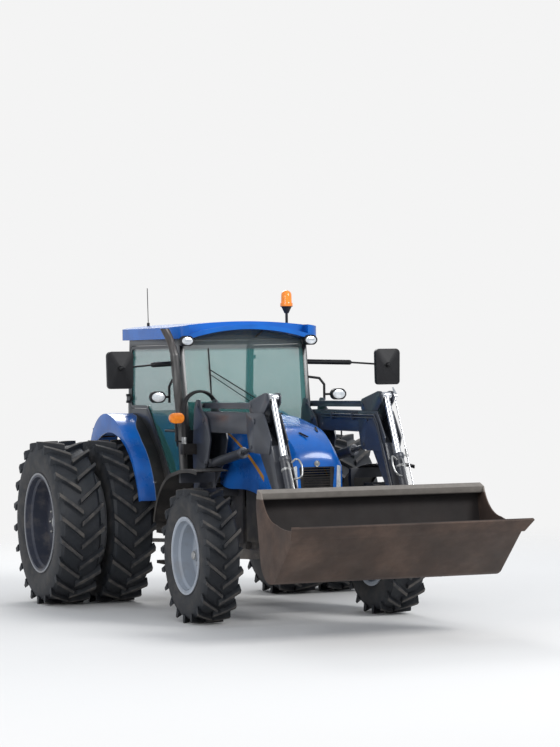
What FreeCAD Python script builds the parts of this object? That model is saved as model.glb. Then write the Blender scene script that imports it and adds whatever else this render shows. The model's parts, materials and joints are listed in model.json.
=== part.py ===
import FreeCAD, Part
import math
import os
import Sketcher
from types import SimpleNamespace
from FreeCAD import Placement, Rotation, Vector

os.makedirs("parts", exist_ok=True)
doc = FreeCAD.newDocument("FarmTractor")
sheet = doc.addObject("Spreadsheet::Sheet", "Sizes")

# Driving sizes in millimetres and degrees. Y runs back from the rear axle, X to the tractor's left, Z up.
driving_sizes = (
    ("wheelbase", 2446),
    ("front_track", 1820),
    ("front_tyre_diameter", 1210),
    ("front_tyre_width", 345),
    ("front_rim_diameter", 700),
    ("front_lug_count", 20),
    ("rear_track", 1890),
    ("twin_spacing", 526),
    ("rear_tyre_diameter", 1585),
    ("rear_tyre_width", 430),
    ("rear_rim_diameter", 970),
    ("rear_lug_count", 22),
    ("lug_height", 38),
    ("running_gap", 0.3),
    ("plate", 8),
    ("kingpin_offset", 690),
    ("kingpin_radius", 24),
    ("axle_height", 792.5),
    ("engine_width", 380),
    ("engine_length", 1150),
    ("engine_height", 640),
    ("engine_front", -2896),
    ("engine_bottom", 660),
    ("gearbox_width", 400),
    ("gearbox_height", 420),
    ("gearbox_bottom", 560),
    ("axle_tube_radius", 115),
    ("axle_shaft_radius", 60),
    ("cab_half_width", 650),
    ("cab_frame_thick", 45),
    ("cab_floor", 1020),
    ("cab_top", 2560),
    ("glass_thick", 6),
    ("door_gap", 6),
    ("door_rim", 28),
    ("roof_overhang", 100),
    ("roof_front", -1400),
    ("roof_back", 240),
    ("roof_crown", 2722),
    ("roof_edge", 2668),
    ("roof_thick", 30),
    ("visor_crown", 2687),
    ("visor_thick", 42),
    ("visor_radius", 2142),
    ("hood_wall", 12),
    ("hood_hinge_y", -1600),
    ("hood_hinge_z", 1775),
    ("rear_fender_outer", 930),
    ("front_fender_inner", 764),
    ("front_fender_width", 306),
    ("arm_offset", 544),
    ("arm_width", 140),
    ("arm_plate", 14),
    ("boom_pivot_y", -1820),
    ("boom_pivot_z", 1800),
    ("rocker_pivot_y", -3055),
    ("rocker_pivot_z", 1810),
    ("link_rise_y", 133),
    ("link_rise_z", 134),
    ("rocker_top_y", -3290),
    ("rocker_top_z", 2019),
    ("boom_tip_y", -3870),
    ("boom_tip_z", 520),
    ("tool_pin_y", -3860),
    ("tool_pin_z", 800),
    ("lift_base_y", -1850),
    ("lift_base_z", 1405),
    ("lift_pin_y", -2975),
    ("lift_pin_z", 1580),
    ("big_pin_radius", 25),
    ("small_pin_radius", 18),
    ("pin_gap", 0.3),
    ("lift_barrel_radius", 45),
    ("lift_barrel_length", 740),
    ("lift_rod_radius", 25),
    ("tool_barrel_radius", 42),
    ("tool_barrel_length", 780),
    ("tool_rod_radius", 29),
    ("link_height", 54),
    ("bucket_half_width", 1042),
    ("bucket_side", 12),
    ("edge_overhang", 62),
    ("drawbar_reach", 940),
    ("drawbar_pin_radius", 16),
)
for row, (alias, value) in enumerate(driving_sizes, 1):
    sheet.set(f"A{row}", alias.replace("_", " "))
    sheet.set(f"B{row}", str(value))
    sheet.setAlias(f"B{row}", alias)
doc.recompute()
s = SimpleNamespace(**{alias: float(sheet.get(alias)) for alias, value in driving_sizes})

nodes = []
x_turn = Rotation(Vector(0, 1, 0), 90)
plane_turns = {
    "side": Rotation(Vector(1, 1, 1), 120),
    "plan": Rotation(),
    "front": Rotation(Vector(1, 0, 0), 90),
}
plane_roles = {"side": "YZ_Plane", "plan": "XY_Plane", "front": "XZ_Plane"}


# Outlines

def outline(points):
    # Lines and arcs round a list of (a, b) or (a, b, corner radius) points
    corners = []
    for index, point in enumerate(points):
        here = Vector(point[0], point[1], 0)
        if len(point) < 3:
            corners.append((here, None, here))
            continue
        back = points[index - 1]
        ahead = points[(index + 1) % len(points)]
        before = Vector(back[0], back[1], 0) - here
        after = Vector(ahead[0], ahead[1], 0) - here
        half = before.getAngle(after) / 2
        # A corner takes at most just under half of each line beside it
        reach = min(point[2] / math.tan(half), 0.48 * before.Length, 0.48 * after.Length)
        radius = reach * math.tan(half)
        before.normalize()
        after.normalize()
        inward = (before + after).normalize()
        middle = here + inward * (radius / math.sin(half) - radius)
        corners.append((here + before * reach, middle, here + after * reach))
    edges = []
    for index, (start, middle, end) in enumerate(corners):
        if middle:
            edges.append(Part.Arc(start, middle, end))
        following = corners[(index + 1) % len(corners)][0]
        if (following - end).Length > 1e-4:
            edges.append(Part.LineSegment(end, following))
    return edges


def face_of(points):
    return Part.Face(Part.Wire([edge.toShape() for edge in outline(points)]))


def prism(plane, points, low, high):
    # A solid between two stations along the plane's row axis
    solid = face_of(points).extrude(Vector(0, 0, high - low))
    start = -high if plane == "front" else low
    solid.Placement = Placement(plane_turns[plane].multVec(Vector(0, 0, start)), plane_turns[plane])
    return solid


def box(x_range, y_range, z_range):
    size = [high - low for low, high in (x_range, y_range, z_range)]
    return Part.makeBox(*size, Vector(x_range[0], y_range[0], z_range[0]))


def bar(start, end, radius):
    # A round bar between two points
    start = Vector(*start)
    end = Vector(*end)
    return Part.makeCylinder(radius, (end - start).Length, start, end - start)


def across(y, z, low, high, radius):
    # A round bar along X
    return Part.makeCylinder(radius, high - low, Vector(low, y, z), Vector(1, 0, 0))


def mirrored(shape):
    return shape.mirror(Vector(), Vector(1, 0, 0))


def fused(shapes):
    whole = shapes[0].multiFuse(shapes[1:])
    tidy = whole.removeSplitter()
    return tidy if tidy.isValid() else whole


# Document objects

def attach(body, sketch, plane):
    role = plane_roles[plane]
    support = next(feature for feature in body.Origin.OriginFeatures if feature.Role == role)
    sketch.AttachmentSupport = [(support, "")]
    sketch.MapMode = "FlatFace"


def draw(sketch, points, holes=()):
    # The outline as sketch geometry, its ends joined, with round holes (a, b, radius)
    edges = outline(points)
    sketch.addGeometry(edges, False)
    ends = [(index, end) for index in range(len(edges)) for end in (1, 2)]
    for one in ends:
        for other in ends:
            if one < other and one[0] != other[0]:
                if (sketch.getPoint(*one) - sketch.getPoint(*other)).Length < 1e-5:
                    sketch.addConstraint(Sketcher.Constraint("Coincident", *one, *other))
    for a, b, radius in holes:
        sketch.addGeometry(Part.Circle(Vector(a, b, 0), Vector(0, 0, 1), radius), False)


def plate_body(name, plane, points, start, thickness, holes=()):
    # A padded sketch whose start and thickness are bound to the sheet
    body = doc.addObject("PartDesign::Body", name)
    sketch = body.newObject("Sketcher::SketchObject", name + "_outline")
    attach(body, sketch, plane)
    draw(sketch, points, holes)
    sketch.setExpression("AttachmentOffset.Base.z", start)
    pad = body.newObject("PartDesign::Pad", name + "_pad")
    pad.Profile = sketch
    pad.setExpression("Length", thickness)
    return body


def turned_body(name, points):
    # A section (x, radius) revolved round X
    body = doc.addObject("PartDesign::Body", name)
    sketch = body.newObject("Sketcher::SketchObject", name + "_section")
    attach(body, sketch, "plan")
    draw(sketch, points)
    turn = body.newObject("PartDesign::Revolution", name + "_turn")
    turn.Profile = sketch
    axis = next(feature for feature in body.Origin.OriginFeatures if feature.Role == "X_Axis")
    turn.ReferenceAxis = (axis, [""])
    turn.Angle = 360
    return body


def block(name, lengths, base):
    # A box whose sizes and corner are bound to the sheet
    item = doc.addObject("Part::Box", name)
    for prop, expression in zip(("Length", "Width", "Height"), lengths):
        item.setExpression(prop, expression)
    for axis, expression in zip("xyz", base):
        item.setExpression("Placement.Base." + axis, expression)
    return item


def cross_bar(name, radius, length, base):
    # A cylinder along X, its radius and length bound to the sheet
    item = doc.addObject("Part::Cylinder", name)
    item.setExpression("Radius", radius)
    item.setExpression("Height", length)
    item.Placement = Placement(Vector(*base), x_turn)
    return item


def feature(name, shape):
    item = doc.addObject("Part::Feature", name)
    item.Shape = shape
    return item


def joined(name, items):
    item = doc.addObject("Part::MultiFuse", name)
    item.Shapes = items
    return item


def grouped(name, items):
    item = doc.addObject("Part::Compound", name)
    item.Links = items
    return item


def flipped(item):
    copy = doc.addObject("Part::Mirroring", item.Name + "_flipped")
    copy.Source = item
    copy.Normal = Vector(1, 0, 0)
    return copy


def node(item, label):
    item.Label = label
    nodes.append(item)
    return item


def both_sides(item, label):
    return node(grouped(label + "_pair", [item, flipped(item)]), label)


# Places worked out from the sheet

front_radius = s.front_tyre_diameter / 2
rear_radius = s.rear_tyre_diameter / 2
# Heights on the chassis are given for the rear axle at axle_height, and all of it rises with a larger tyre
rise = rear_radius - s.axle_height
front_axle = (-s.wheelbase, front_radius)
rear_axle = (0, rear_radius)
hub_height = s.axle_height
front_x = s.front_track / 2
rear_x = s.rear_track / 2
boom_pivot = (s.boom_pivot_y, s.boom_pivot_z)
rocker_pivot = (s.rocker_pivot_y, s.rocker_pivot_z)
link_front = (s.rocker_pivot_y + s.link_rise_y, s.rocker_pivot_z + s.link_rise_z)
link_rear = (s.boom_pivot_y + s.link_rise_y, s.boom_pivot_z + s.link_rise_z)
rocker_top = (s.rocker_top_y, s.rocker_top_z)
boom_tip = (s.boom_tip_y, s.boom_tip_z)
tool_pin = (s.tool_pin_y, s.tool_pin_z)
lift_base = (s.lift_base_y, s.lift_base_z)
lift_pin = (s.lift_pin_y, s.lift_pin_z)
arm_low = s.arm_offset - s.arm_width / 2
arm_high = s.arm_offset + s.arm_width / 2
outer_gap = s.arm_plate + 6


# Wheels

def lug(radius, width, height, side, thickness):
    # One slanted bar at the top of the wheel, its inner end leading
    sweep = 0.21 * width
    deep = radius - height - 40
    inner_x = -8 * side
    outer_x = (width / 2 - 3) * side

    def level(z, thick):
        corners = [(inner_x, -sweep - thick), (outer_x, sweep - thick),
                   (outer_x, sweep + thick), (inner_x, -sweep + thick)]
        ring = [Vector(x, y, z) for x, y in corners]
        return Part.makePolygon(ring + ring[:1])

    foot = level(deep, thickness / 2 + 14)
    face = level(radius + 12, thickness / 2 - 5)
    solid = Part.makeLoft([foot, face], True, True)
    rim = Part.makeCylinder(radius, width + 40, Vector(-width / 2 - 20, 0, 0), Vector(1, 0, 0))
    return solid.common(rim)


def tyre(diameter, width, rim_diameter, rim_half, lug_count, thickness):
    radius = diameter / 2
    base = radius - s.lug_height
    bead = rim_diameter / 2 - 28 + s.running_gap
    seat = rim_half - 14 - s.running_gap
    flange = rim_diameter / 2 + 2.5
    half = width / 2
    tall = base - flange
    left = [Vector(-seat, bead, 0), Vector(-seat, flange, 0)]
    edges = [Part.makeLine(left[0], left[1])]
    bulge = Vector(-half, flange + 0.5 * tall, 0)
    shoulder = Vector(-half * 0.9, base - 22, 0)
    edges.append(Part.Arc(left[1], bulge, shoulder).toShape())
    tread = Vector(-half * 0.78, base - 4, 0)
    edges.append(Part.makeLine(shoulder, tread))
    flip = [Vector(-point.x, point.y, 0) for point in (tread, shoulder, bulge, left[1], left[0])]
    edges.append(Part.makeLine(tread, flip[0]))
    edges.append(Part.makeLine(flip[0], flip[1]))
    edges.append(Part.Arc(flip[1], flip[2], flip[3]).toShape())
    edges.append(Part.makeLine(flip[3], flip[4]))
    edges.append(Part.makeLine(flip[4], left[0]))
    carcass = Part.Face(Part.Wire(edges)).revolve(Vector(), Vector(1, 0, 0), 360)
    bars = []
    for side in (-1, 1):
        bar_shape = lug(radius, width, s.lug_height, side, thickness)
        for index in range(int(lug_count)):
            turn = 360 / lug_count * (index + (0.5 if side > 0 else 0))
            copy = bar_shape.copy()
            copy.rotate(Vector(), Vector(1, 0, 0), turn)
            bars.append(copy)
    return carcass.multiFuse(bars)


def rim_section(half, flange, dish):
    # Rim barrel with flanges, drop centre and a dished disc down to its hub hole
    seat = flange - 28
    drop = seat - 20
    inner = drop - 12
    return [
        (-half, flange), (-half + 10, flange), (-half + 14, seat), (-half + 50, seat - 4),
        (-half + 70, drop), (half - 70, drop), (half - 50, seat - 4), (half - 14, seat),
        (half - 10, flange), (half, flange), (half - 4, seat - 10), (half - 52, seat - 16),
        (half - 72, inner), (dish + 6, inner), (dish + 6, flange * 0.66), (dish + 34, flange * 0.55),
        (dish + 34, 80), (dish + 20, 80), (dish + 20, flange * 0.52), (dish - 8, flange * 0.63),
        (dish - 8, inner), (-half + 72, inner), (-half + 52, seat - 16), (-half + 4, seat - 10),
    ]


def placed(shape, x, axle):
    copy = shape.copy()
    copy.translate(Vector(x, axle[0], axle[1]))
    return copy


front_dish = -30
rear_dish = -60
front_half = s.front_tyre_width / 2 - 13
rear_half = s.rear_tyre_width / 2 - 18
front_tyre = tyre(s.front_tyre_diameter, s.front_tyre_width, s.front_rim_diameter, front_half,
                  s.front_lug_count, 34)
rear_tyre = tyre(s.rear_tyre_diameter, s.rear_tyre_width, s.rear_rim_diameter, rear_half,
                 s.rear_lug_count, 42)
front_rim_body = turned_body("front_rim", rim_section(front_half, s.front_rim_diameter / 2, front_dish))
rear_rim_body = turned_body("rear_rim", rim_section(rear_half, s.rear_rim_diameter / 2, rear_dish))
outer_rim_body = turned_body("outer_rim", rim_section(rear_half, s.rear_rim_diameter / 2, -20))
doc.recompute()

front_hub = fused([
    across(0, 0, front_dish - 42, front_dish + 78, 79),
    across(0, 0, front_dish + 78, front_dish + 96, 50),
    across(0, 0, front_dish + 8, front_dish + 19, 160),
])
front_rim = fused([front_rim_body.Shape, front_hub])
rear_hub = across(0, 0, rear_dish - 10, rear_dish + 60, 79)
rear_flange = across(0, 0, rear_dish + 3, rear_dish + 19, 175)
ring_outer = s.rear_rim_diameter / 2 - 6
ring_low = rear_half
ring_high = s.twin_spacing - rear_half
spacer = across(0, 0, ring_low - 6, ring_high + 6, ring_outer).cut(
    across(0, 0, ring_low - 8, ring_high + 8, ring_outer - 14))
outer_rim = outer_rim_body.Shape.copy()
outer_rim.translate(Vector(s.twin_spacing, 0, 0))
outer_hub = across(0, 0, s.twin_spacing - 20, s.twin_spacing + 30, 79)
rear_rim = fused([rear_rim_body.Shape, rear_hub, rear_flange, spacer, outer_rim, outer_hub])
rear_tyres = Part.makeCompound([rear_tyre, placed(rear_tyre, s.twin_spacing, (0, 0))])

for name, shape, x, axle in (
    ("rim_front", front_rim, front_x, front_axle),
    ("tyre_front", front_tyre, front_x, front_axle),
    ("rim_rear", rear_rim, rear_x, rear_axle),
    ("tyres_rear", rear_tyres, rear_x, rear_axle),
):
    left = placed(shape, x, axle)
    node(feature(name + "_l", left), name + "_left")
    node(feature(name + "_r", mirrored(left)), name + "_right")


# Engine, gearbox, rear axle, front support

engine = block("engine", ("Sizes.engine_width", "Sizes.engine_length", "Sizes.engine_height"),
               ("-Sizes.engine_width / 2", "Sizes.engine_front", "Sizes.engine_bottom"))
engine_top = s.engine_bottom + s.engine_height
engine_back = s.engine_front + s.engine_length
stand_front, stand_back = engine_back - 44, engine_back - 9
stand_rail = (s.hood_hinge_z - 50, s.hood_hinge_z - 15)
stand_parts = [
    box((-150, 150), (stand_front, stand_back), stand_rail),
    across(s.hood_hinge_y, s.hood_hinge_z, -130, 130, 9),
]
for low, high, post_high in ((-150, -110, -110), (110, 150, 130)):
    stand_parts += [
        box((low, high), (stand_front, stand_back), (engine_top - 5, stand_rail[1])),
        box((low, high), (stand_front, s.hood_hinge_y + 10), stand_rail),
        box((post_high - 20, post_high), (s.hood_hinge_y - 15, s.hood_hinge_y + 15),
            (stand_rail[0], s.hood_hinge_z)),
    ]
hood_stand = feature("hood_stand", fused(stand_parts))
node(joined("engine_and_stand", [engine, hood_stand]), "engine_block")

gearbox_front = engine_back
gearbox_points = [
    (gearbox_front, s.gearbox_bottom), (gearbox_front, s.gearbox_bottom + s.gearbox_height),
    (-900, s.gearbox_bottom + s.gearbox_height, 60), (-320, hub_height + 210, 60),
    (240, hub_height + 210, 60), (270, hub_height - 60), (200, hub_height - 300, 80),
    (-420, hub_height - 300, 80), (-700, s.gearbox_bottom, 60),
]
gearbox = plate_body("gearbox", "side", gearbox_points, "-Sizes.gearbox_width / 2", "Sizes.gearbox_width")
tube_reach = 600
shaft_reach = rear_x + rear_dish - 10.5
axle_tube = cross_bar("axle_tube", "Sizes.axle_tube_radius", str(2 * tube_reach),
                      (-tube_reach, 0, hub_height))
axle_shaft = cross_bar("axle_shaft", "Sizes.axle_shaft_radius", str(2 * shaft_reach),
                       (-shaft_reach, 0, hub_height))
axle_ends = feature("axle_ends", fused([
    across(0, hub_height, -tube_reach - 20, -tube_reach, 150),
    across(0, hub_height, -tube_reach, tube_reach, s.axle_shaft_radius),
    across(0, hub_height, tube_reach, tube_reach + 20, 150),
]))
shaft_stub = feature("shaft_stub", fused([
    bar((0, 200, 700), (0, 330, 700), 60),
    bar((0, 330, 700), (0, 410, 700), 17.5),
]))
cab_seat_z = s.cab_floor - s.running_gap
cab_mounts = []
for side in (-1, 1):
    low, high = sorted((side * 190, side * 470))
    cab_mounts.append(box((low, high), (-1220, -1120), (860, 930)))
    low, high = sorted((side * 370, side * 470))
    cab_mounts.append(box((low, high), (-1220, -1120), (925, cab_seat_z)))
    cab_mounts.append(box((low, high), (-55, 55), (hub_height, cab_seat_z)))
cab_mounts = feature("cab_mounts", fused(cab_mounts))
node(joined("driveline", [gearbox, axle_tube, axle_shaft, axle_ends, shaft_stub, cab_mounts]),
     "gearbox_and_rear_axle")

support_back = gearbox_front - s.running_gap
axle_y = front_axle[0]
support_top = s.engine_bottom - 5
support_points = [
    (axle_y - 594, 600, 30), (axle_y - 594, 840), (s.engine_front - 4, 855),
    (s.engine_front - 4, support_top),
    (support_back, support_top), (support_back, 560), (axle_y + 246, 560, 60), (axle_y + 116, 638, 40),
    (axle_y - 114, 638, 40), (axle_y - 254, 570, 60),
]
support = prism("side", support_points, -150, 150)
support.translate(Vector(0, 0, rise))
beam_z = front_radius
beam_front = [
    (-560, beam_z - 45), (-420, beam_z - 55, 80), (420, beam_z - 55, 80), (560, beam_z - 45),
    (600, beam_z - 165), (760, beam_z - 165), (760, beam_z - 122), (598, beam_z - 122, 10),
    (598, beam_z + 122, 10), (760, beam_z + 122), (760, beam_z + 165), (600, beam_z + 165),
    (560, beam_z + 45), (420, beam_z + 32, 80), (-420, beam_z + 32, 80), (-560, beam_z + 45),
    (-600, beam_z + 165), (-760, beam_z + 165), (-760, beam_z + 122), (-598, beam_z + 122, 10),
    (-598, beam_z - 122, 10), (-760, beam_z - 122), (-760, beam_z - 165), (-600, beam_z - 165),
]
beam = prism("front", beam_front, front_axle[0] - 58, front_axle[0] + 58)
pivot = box((-90, 90), (axle_y - 114, axle_y + 116), (beam_z - 45, 645 + rise))
pins = []
for side in (-1, 1):
    for low, high in ((beam_z - 165, beam_z - 70), (beam_z + 70, beam_z + 165)):
        x = side * s.kingpin_offset
        pins.append(bar((x, front_axle[0], low), (x, front_axle[0], high), s.kingpin_radius))
node(feature("front_end", fused([support, beam, pivot] + pins)), "front_axle")


# Knuckles with their fenders

knuckle_parts = [
    bar((s.kingpin_offset, front_axle[0], beam_z - 116), (s.kingpin_offset, front_axle[0], beam_z + 116), 84),
    across(front_axle[0], beam_z, s.kingpin_offset, front_x + front_dish - 42.5, 74),
    box((s.kingpin_offset - 26, s.kingpin_offset + 26),
        (front_axle[0] + 60, front_axle[0] + 190), (beam_z - 60, beam_z + 60)),
    prism("side", [
        (front_axle[0] + 150, beam_z - 60), (front_axle[0] + 215, beam_z - 60),
        (front_axle[0] + 300, beam_z + 655), (front_axle[0] + 235, beam_z + 655),
    ], s.kingpin_offset - 14, s.kingpin_offset + 14),
    box((s.kingpin_offset - 14, s.front_fender_inner + s.front_fender_width - 60),
        (front_axle[0] + 235, front_axle[0] + 285), (beam_z + 640, beam_z + 730)),
]
knuckle = fused(knuckle_parts)
bore = bar((s.kingpin_offset, front_axle[0], beam_z - 200), (s.kingpin_offset, front_axle[0], beam_z + 200),
           s.kingpin_radius + s.pin_gap)
core = bar((s.kingpin_offset, front_axle[0], beam_z - 68), (s.kingpin_offset, front_axle[0], beam_z + 68), 60)
knuckle = knuckle.cut(bore).fuse(core)


def moved_inward(arcs, thick):
    # The same chain of arcs (start, middle, end) moved towards its centres
    rows = [[Vector(0, *point) for point in arc] for arc in arcs]
    circles = [Part.Arc(*row).toShape().Curve for row in rows]
    joints = [rows[0][0]] + [row[2] for row in rows]
    pulls = []
    for index, point in enumerate(joints):
        touching = circles[max(index - 1, 0):index + 1]
        pull = Vector()
        for circle in touching:
            pull += (circle.Center - point).normalize()
        pulls.append(pull.normalize())
    inner = []
    for index, (row, circle) in enumerate(zip(rows, circles)):
        middle = row[1] + (circle.Center - row[1]).normalize() * thick
        inner.append([row[0] + pulls[index] * thick, middle, row[2] + pulls[index + 1] * thick])
    return rows, inner


def bent_strip(arcs, thick, low, high):
    # A plate bent along a chain of arcs, its thickness inside them
    outer, inner = moved_inward(arcs, thick)
    edges = [Part.Arc(*row).toShape() for row in outer]
    edges.append(Part.makeLine(outer[-1][2], inner[-1][2]))
    edges += [Part.Arc(*row).toShape() for row in reversed(inner)]
    edges.append(Part.makeLine(inner[0][0], outer[0][0]))
    face = Part.Face(Part.Wire(Part.__sortEdges__(edges)))
    face.translate(Vector(low, 0, 0))
    return face.extrude(Vector(high - low, 0, 0))


front_arcs = [
    [(axle_y + 830, beam_z + 265), (axle_y + 640, beam_z + 575), (axle_y + 260, beam_z + 740)],
    [(axle_y + 260, beam_z + 740), (axle_y - 30, beam_z + 778), (axle_y - 320, beam_z + 768)],
]
fender_high = s.front_fender_inner + s.front_fender_width
front_fender = fused([
    bent_strip(front_arcs, s.plate, s.front_fender_inner, fender_high - s.plate),
    bent_strip(front_arcs, 34, fender_high - s.plate, fender_high),
])
knuckle = knuckle.cut(bent_strip(front_arcs, s.plate + s.running_gap, 500, fender_high + 1))
node(feature("knuckle_l", knuckle), "knuckle_left")
node(feature("knuckle_r", mirrored(knuckle)), "knuckle_right")
node(feature("front_fender_l", front_fender), "front_fender_left")
node(feature("front_fender_r", mirrored(front_fender)), "front_fender_right")


# Rear fenders

# Degrees forward of upright round the wheel, and the gap over the tyre
fender_table = (
    (75.3, 105), (56.9, 118), (31.5, 125), (12.6, 196), (-4.4, 256), (-21.8, 258), (-39.6, 165),
)
fender_path = []
for degrees, gap in fender_table:
    lean = math.radians(degrees)
    reach = rear_radius + gap
    fender_path.append((-reach * math.sin(lean), hub_height + reach * math.cos(lean)))
fender_arcs = [fender_path[start:start + 3] for start in (0, 2, 4)]
fender_low = s.cab_half_width + s.running_gap
rear_high = s.rear_fender_outer
lip_radius = rear_radius + 72
lip_chain = [[Vector(0, *point) for point in arc] for arc in fender_arcs]
hub_point = Vector(0, 0, hub_height)


def on_lip(point):
    return hub_point + (point - hub_point).normalize() * lip_radius


lip_ends = [on_lip(lip_chain[0][0]), hub_point + Vector(0, -0.25, 1).normalize() * lip_radius,
            on_lip(lip_chain[-1][2])]
lip_edges = [Part.Arc(*row).toShape() for row in lip_chain]
lip_edges.append(Part.makeLine(lip_chain[-1][2], lip_ends[2]))
lip_edges.append(Part.Arc(*reversed(lip_ends)).toShape())
lip_edges.append(Part.makeLine(lip_ends[0], lip_chain[0][0]))
lip_face = Part.Face(Part.Wire(Part.__sortEdges__(lip_edges)))
lip_face.translate(Vector(rear_high - s.plate, 0, 0))
lip = lip_face.extrude(Vector(s.plate, 0, 0))
rear_fender = fused([bent_strip(fender_arcs, s.plate, fender_low, rear_high - s.plate), lip])
both_sides(feature("rear_fender_shape", rear_fender), "rear_fenders")


# Cab frame with its door openings, floor, front wall, roof ring and rear wall

door_points = [
    (-1315, 1100, 60), (-1010, 1100, 90), (-925, 1250, 60), (-640, 1560, 200), (-330, 1892, 120),
    (165, 1892, 60), (125, 2500, 60), (-1180, 2500, 60),
]
side_points = [
    (-1420, s.cab_floor), (-880, s.cab_floor), (-868, 1080), (-770, 1275), (-640, 1412), (-480, 1562),
    (-215, 1742), (80, 1823), (235, 1823), (235, 1900), (175, s.cab_top), (-1245, s.cab_top), (-1375, 1700),
]


def grown(points, extra):
    # The same outline moved outward by a fixed distance
    wire = Part.Wire([edge.toShape() for edge in outline(points)])
    return wire.makeOffset2D(extra)


def side_solid(wire, low, high):
    solid = Part.Face(wire).extrude(Vector(0, 0, high - low))
    solid.Placement = Placement(Vector(low, 0, 0), plane_turns["side"])
    return solid


frame_low = s.cab_half_width - s.cab_frame_thick
side_frame = prism("side", side_points, frame_low, s.cab_half_width)
opening = side_solid(grown(door_points, s.door_gap), frame_low - 5, s.cab_half_width + 5)
side_frame = side_frame.cut(opening)
cab_parts = [side_frame, mirrored(side_frame)]
cab_parts.append(box((-s.cab_half_width, s.cab_half_width), (-1400, 200), (s.cab_floor, s.cab_floor + 40)))
cab_parts.append(box((-s.cab_half_width, s.cab_half_width), (-1120, 170), (s.cab_top - 12, s.cab_top)))
front_wall = prism("side", [(-1420, s.cab_floor), (-1375, 1700), (-1335, 1700), (-1380, s.cab_floor)],
                   -s.cab_half_width, s.cab_half_width)
cab_parts.append(front_wall)
cab_parts.append(prism("side", [(130, 2510), (125, s.cab_top), (175, s.cab_top), (180, 2510)],
                       -s.cab_half_width, s.cab_half_width))
cab_parts.append(prism("side", [(195, s.cab_floor), (195, 1860), (235, 1860), (235, s.cab_floor)],
                       -s.cab_half_width, s.cab_half_width))
hinge_x = s.cab_half_width + 15
hinge_y = 200
for z in (1940, 2340):
    hinge = fused([
        box((s.cab_half_width - 5, hinge_x + 15), (hinge_y - 14, hinge_y + 14), (z, z + 25)),
        box((s.cab_half_width - 5, hinge_x + 15), (hinge_y - 14, hinge_y + 14), (z + 65, z + 90)),
        bar((hinge_x, hinge_y, z), (hinge_x, hinge_y, z + 90), 8),
    ])
    cab_parts += [hinge, mirrored(hinge)]
node(feature("cab_shell", fused(cab_parts)), "cab_frame")

for side, suffix in ((1, "left"), (-1, "right")):
    door_wire = Part.Wire([edge.toShape() for edge in outline(door_points)])
    ring = side_solid(door_wire, frame_low + 8, s.cab_half_width)
    pane_low = s.cab_half_width - 16
    pane_high = pane_low + s.glass_thick
    pane_edge = s.door_rim / 2
    window = side_solid(grown(door_points, -s.door_rim), frame_low, s.cab_half_width + 5)
    pane = side_solid(grown(door_points, -pane_edge), pane_low, pane_high)
    groove = side_solid(grown(door_points, s.running_gap - pane_edge), pane_low - s.running_gap,
                        pane_high + s.running_gap)
    handle = fused([
        box((s.cab_half_width - 2, s.cab_half_width + 30), (-1235, -1220), (1560, 1580)),
        box((s.cab_half_width - 2, s.cab_half_width + 30), (-1235, -1220), (1720, 1740)),
        box((s.cab_half_width + 20, s.cab_half_width + 32), (-1237, -1218), (1545, 1755)),
    ])
    knuckles = []
    for z in (1966, 2366):
        eye = fused([
            box((s.cab_half_width - 10, hinge_x + 13), (110, 128), (z, z + 38)),
            box((hinge_x - 13, hinge_x + 13), (120, hinge_y), (z, z + 38)),
            bar((hinge_x, hinge_y, z), (hinge_x, hinge_y, z + 38), 13),
        ])
        pin_room = bar((hinge_x, hinge_y, z - 1), (hinge_x, hinge_y, z + 39), 8 + s.running_gap)
        knuckles.append(eye.cut(pin_room))
    frame_shape = fused([ring.cut(window).cut(groove), handle] + knuckles)
    if side < 0:
        frame_shape = mirrored(frame_shape)
        pane = mirrored(pane)
    node(feature("door_" + suffix, frame_shape), "door_frame_" + suffix)
    node(feature("pane_" + suffix, pane), "door_glass_" + suffix)

pane_reach = frame_low - s.running_gap
wall_top = 1700 + s.running_gap
visor_z = s.visor_crown - s.visor_radius
visor_low = s.visor_radius - s.visor_thick
visor_back = -1215


def arch(radius, low, high):
    # The round bar whose top is the visor's curve
    return Part.makeCylinder(radius, high - low, Vector(0, low, visor_z), Vector(0, 1, 0))


windshield = prism("side", [(-1374, wall_top), (-1230, 2656), (-1224, 2656), (-1368, wall_top)],
                   -pane_reach, pane_reach)
windshield = windshield.common(arch(visor_low - s.running_gap, -1500, -1100))
rear_low, rear_top = 1860 + s.running_gap, 2510 - s.running_gap
rear_pane = prism("side", [(214, rear_low), (160, rear_top), (166, rear_top), (220, rear_low)],
                  -pane_reach, pane_reach)
node(feature("cab_panes", Part.makeCompound([windshield, rear_pane])), "cab_glass")

roof_half_width = s.cab_half_width + s.roof_overhang
crown_rise = s.roof_crown - s.roof_edge
crown_radius = (roof_half_width ** 2 + crown_rise ** 2) / (2 * crown_rise)
crown_z = s.roof_crown - crown_radius


def roof_solid(inset, corner, low, radius):
    # A rounded slab whose top follows the crown
    reach = roof_half_width - inset
    front, back = s.roof_front + inset, s.roof_back - inset
    slab = prism("plan", [
        (-reach, front, corner), (reach, front, corner), (reach, back, corner), (-reach, back, corner),
    ], low, s.roof_crown + 20)
    crown = Part.makeCylinder(radius, back - front + 200, Vector(0, front - 100, crown_z), Vector(0, 1, 0))
    return slab.common(crown)


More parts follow.
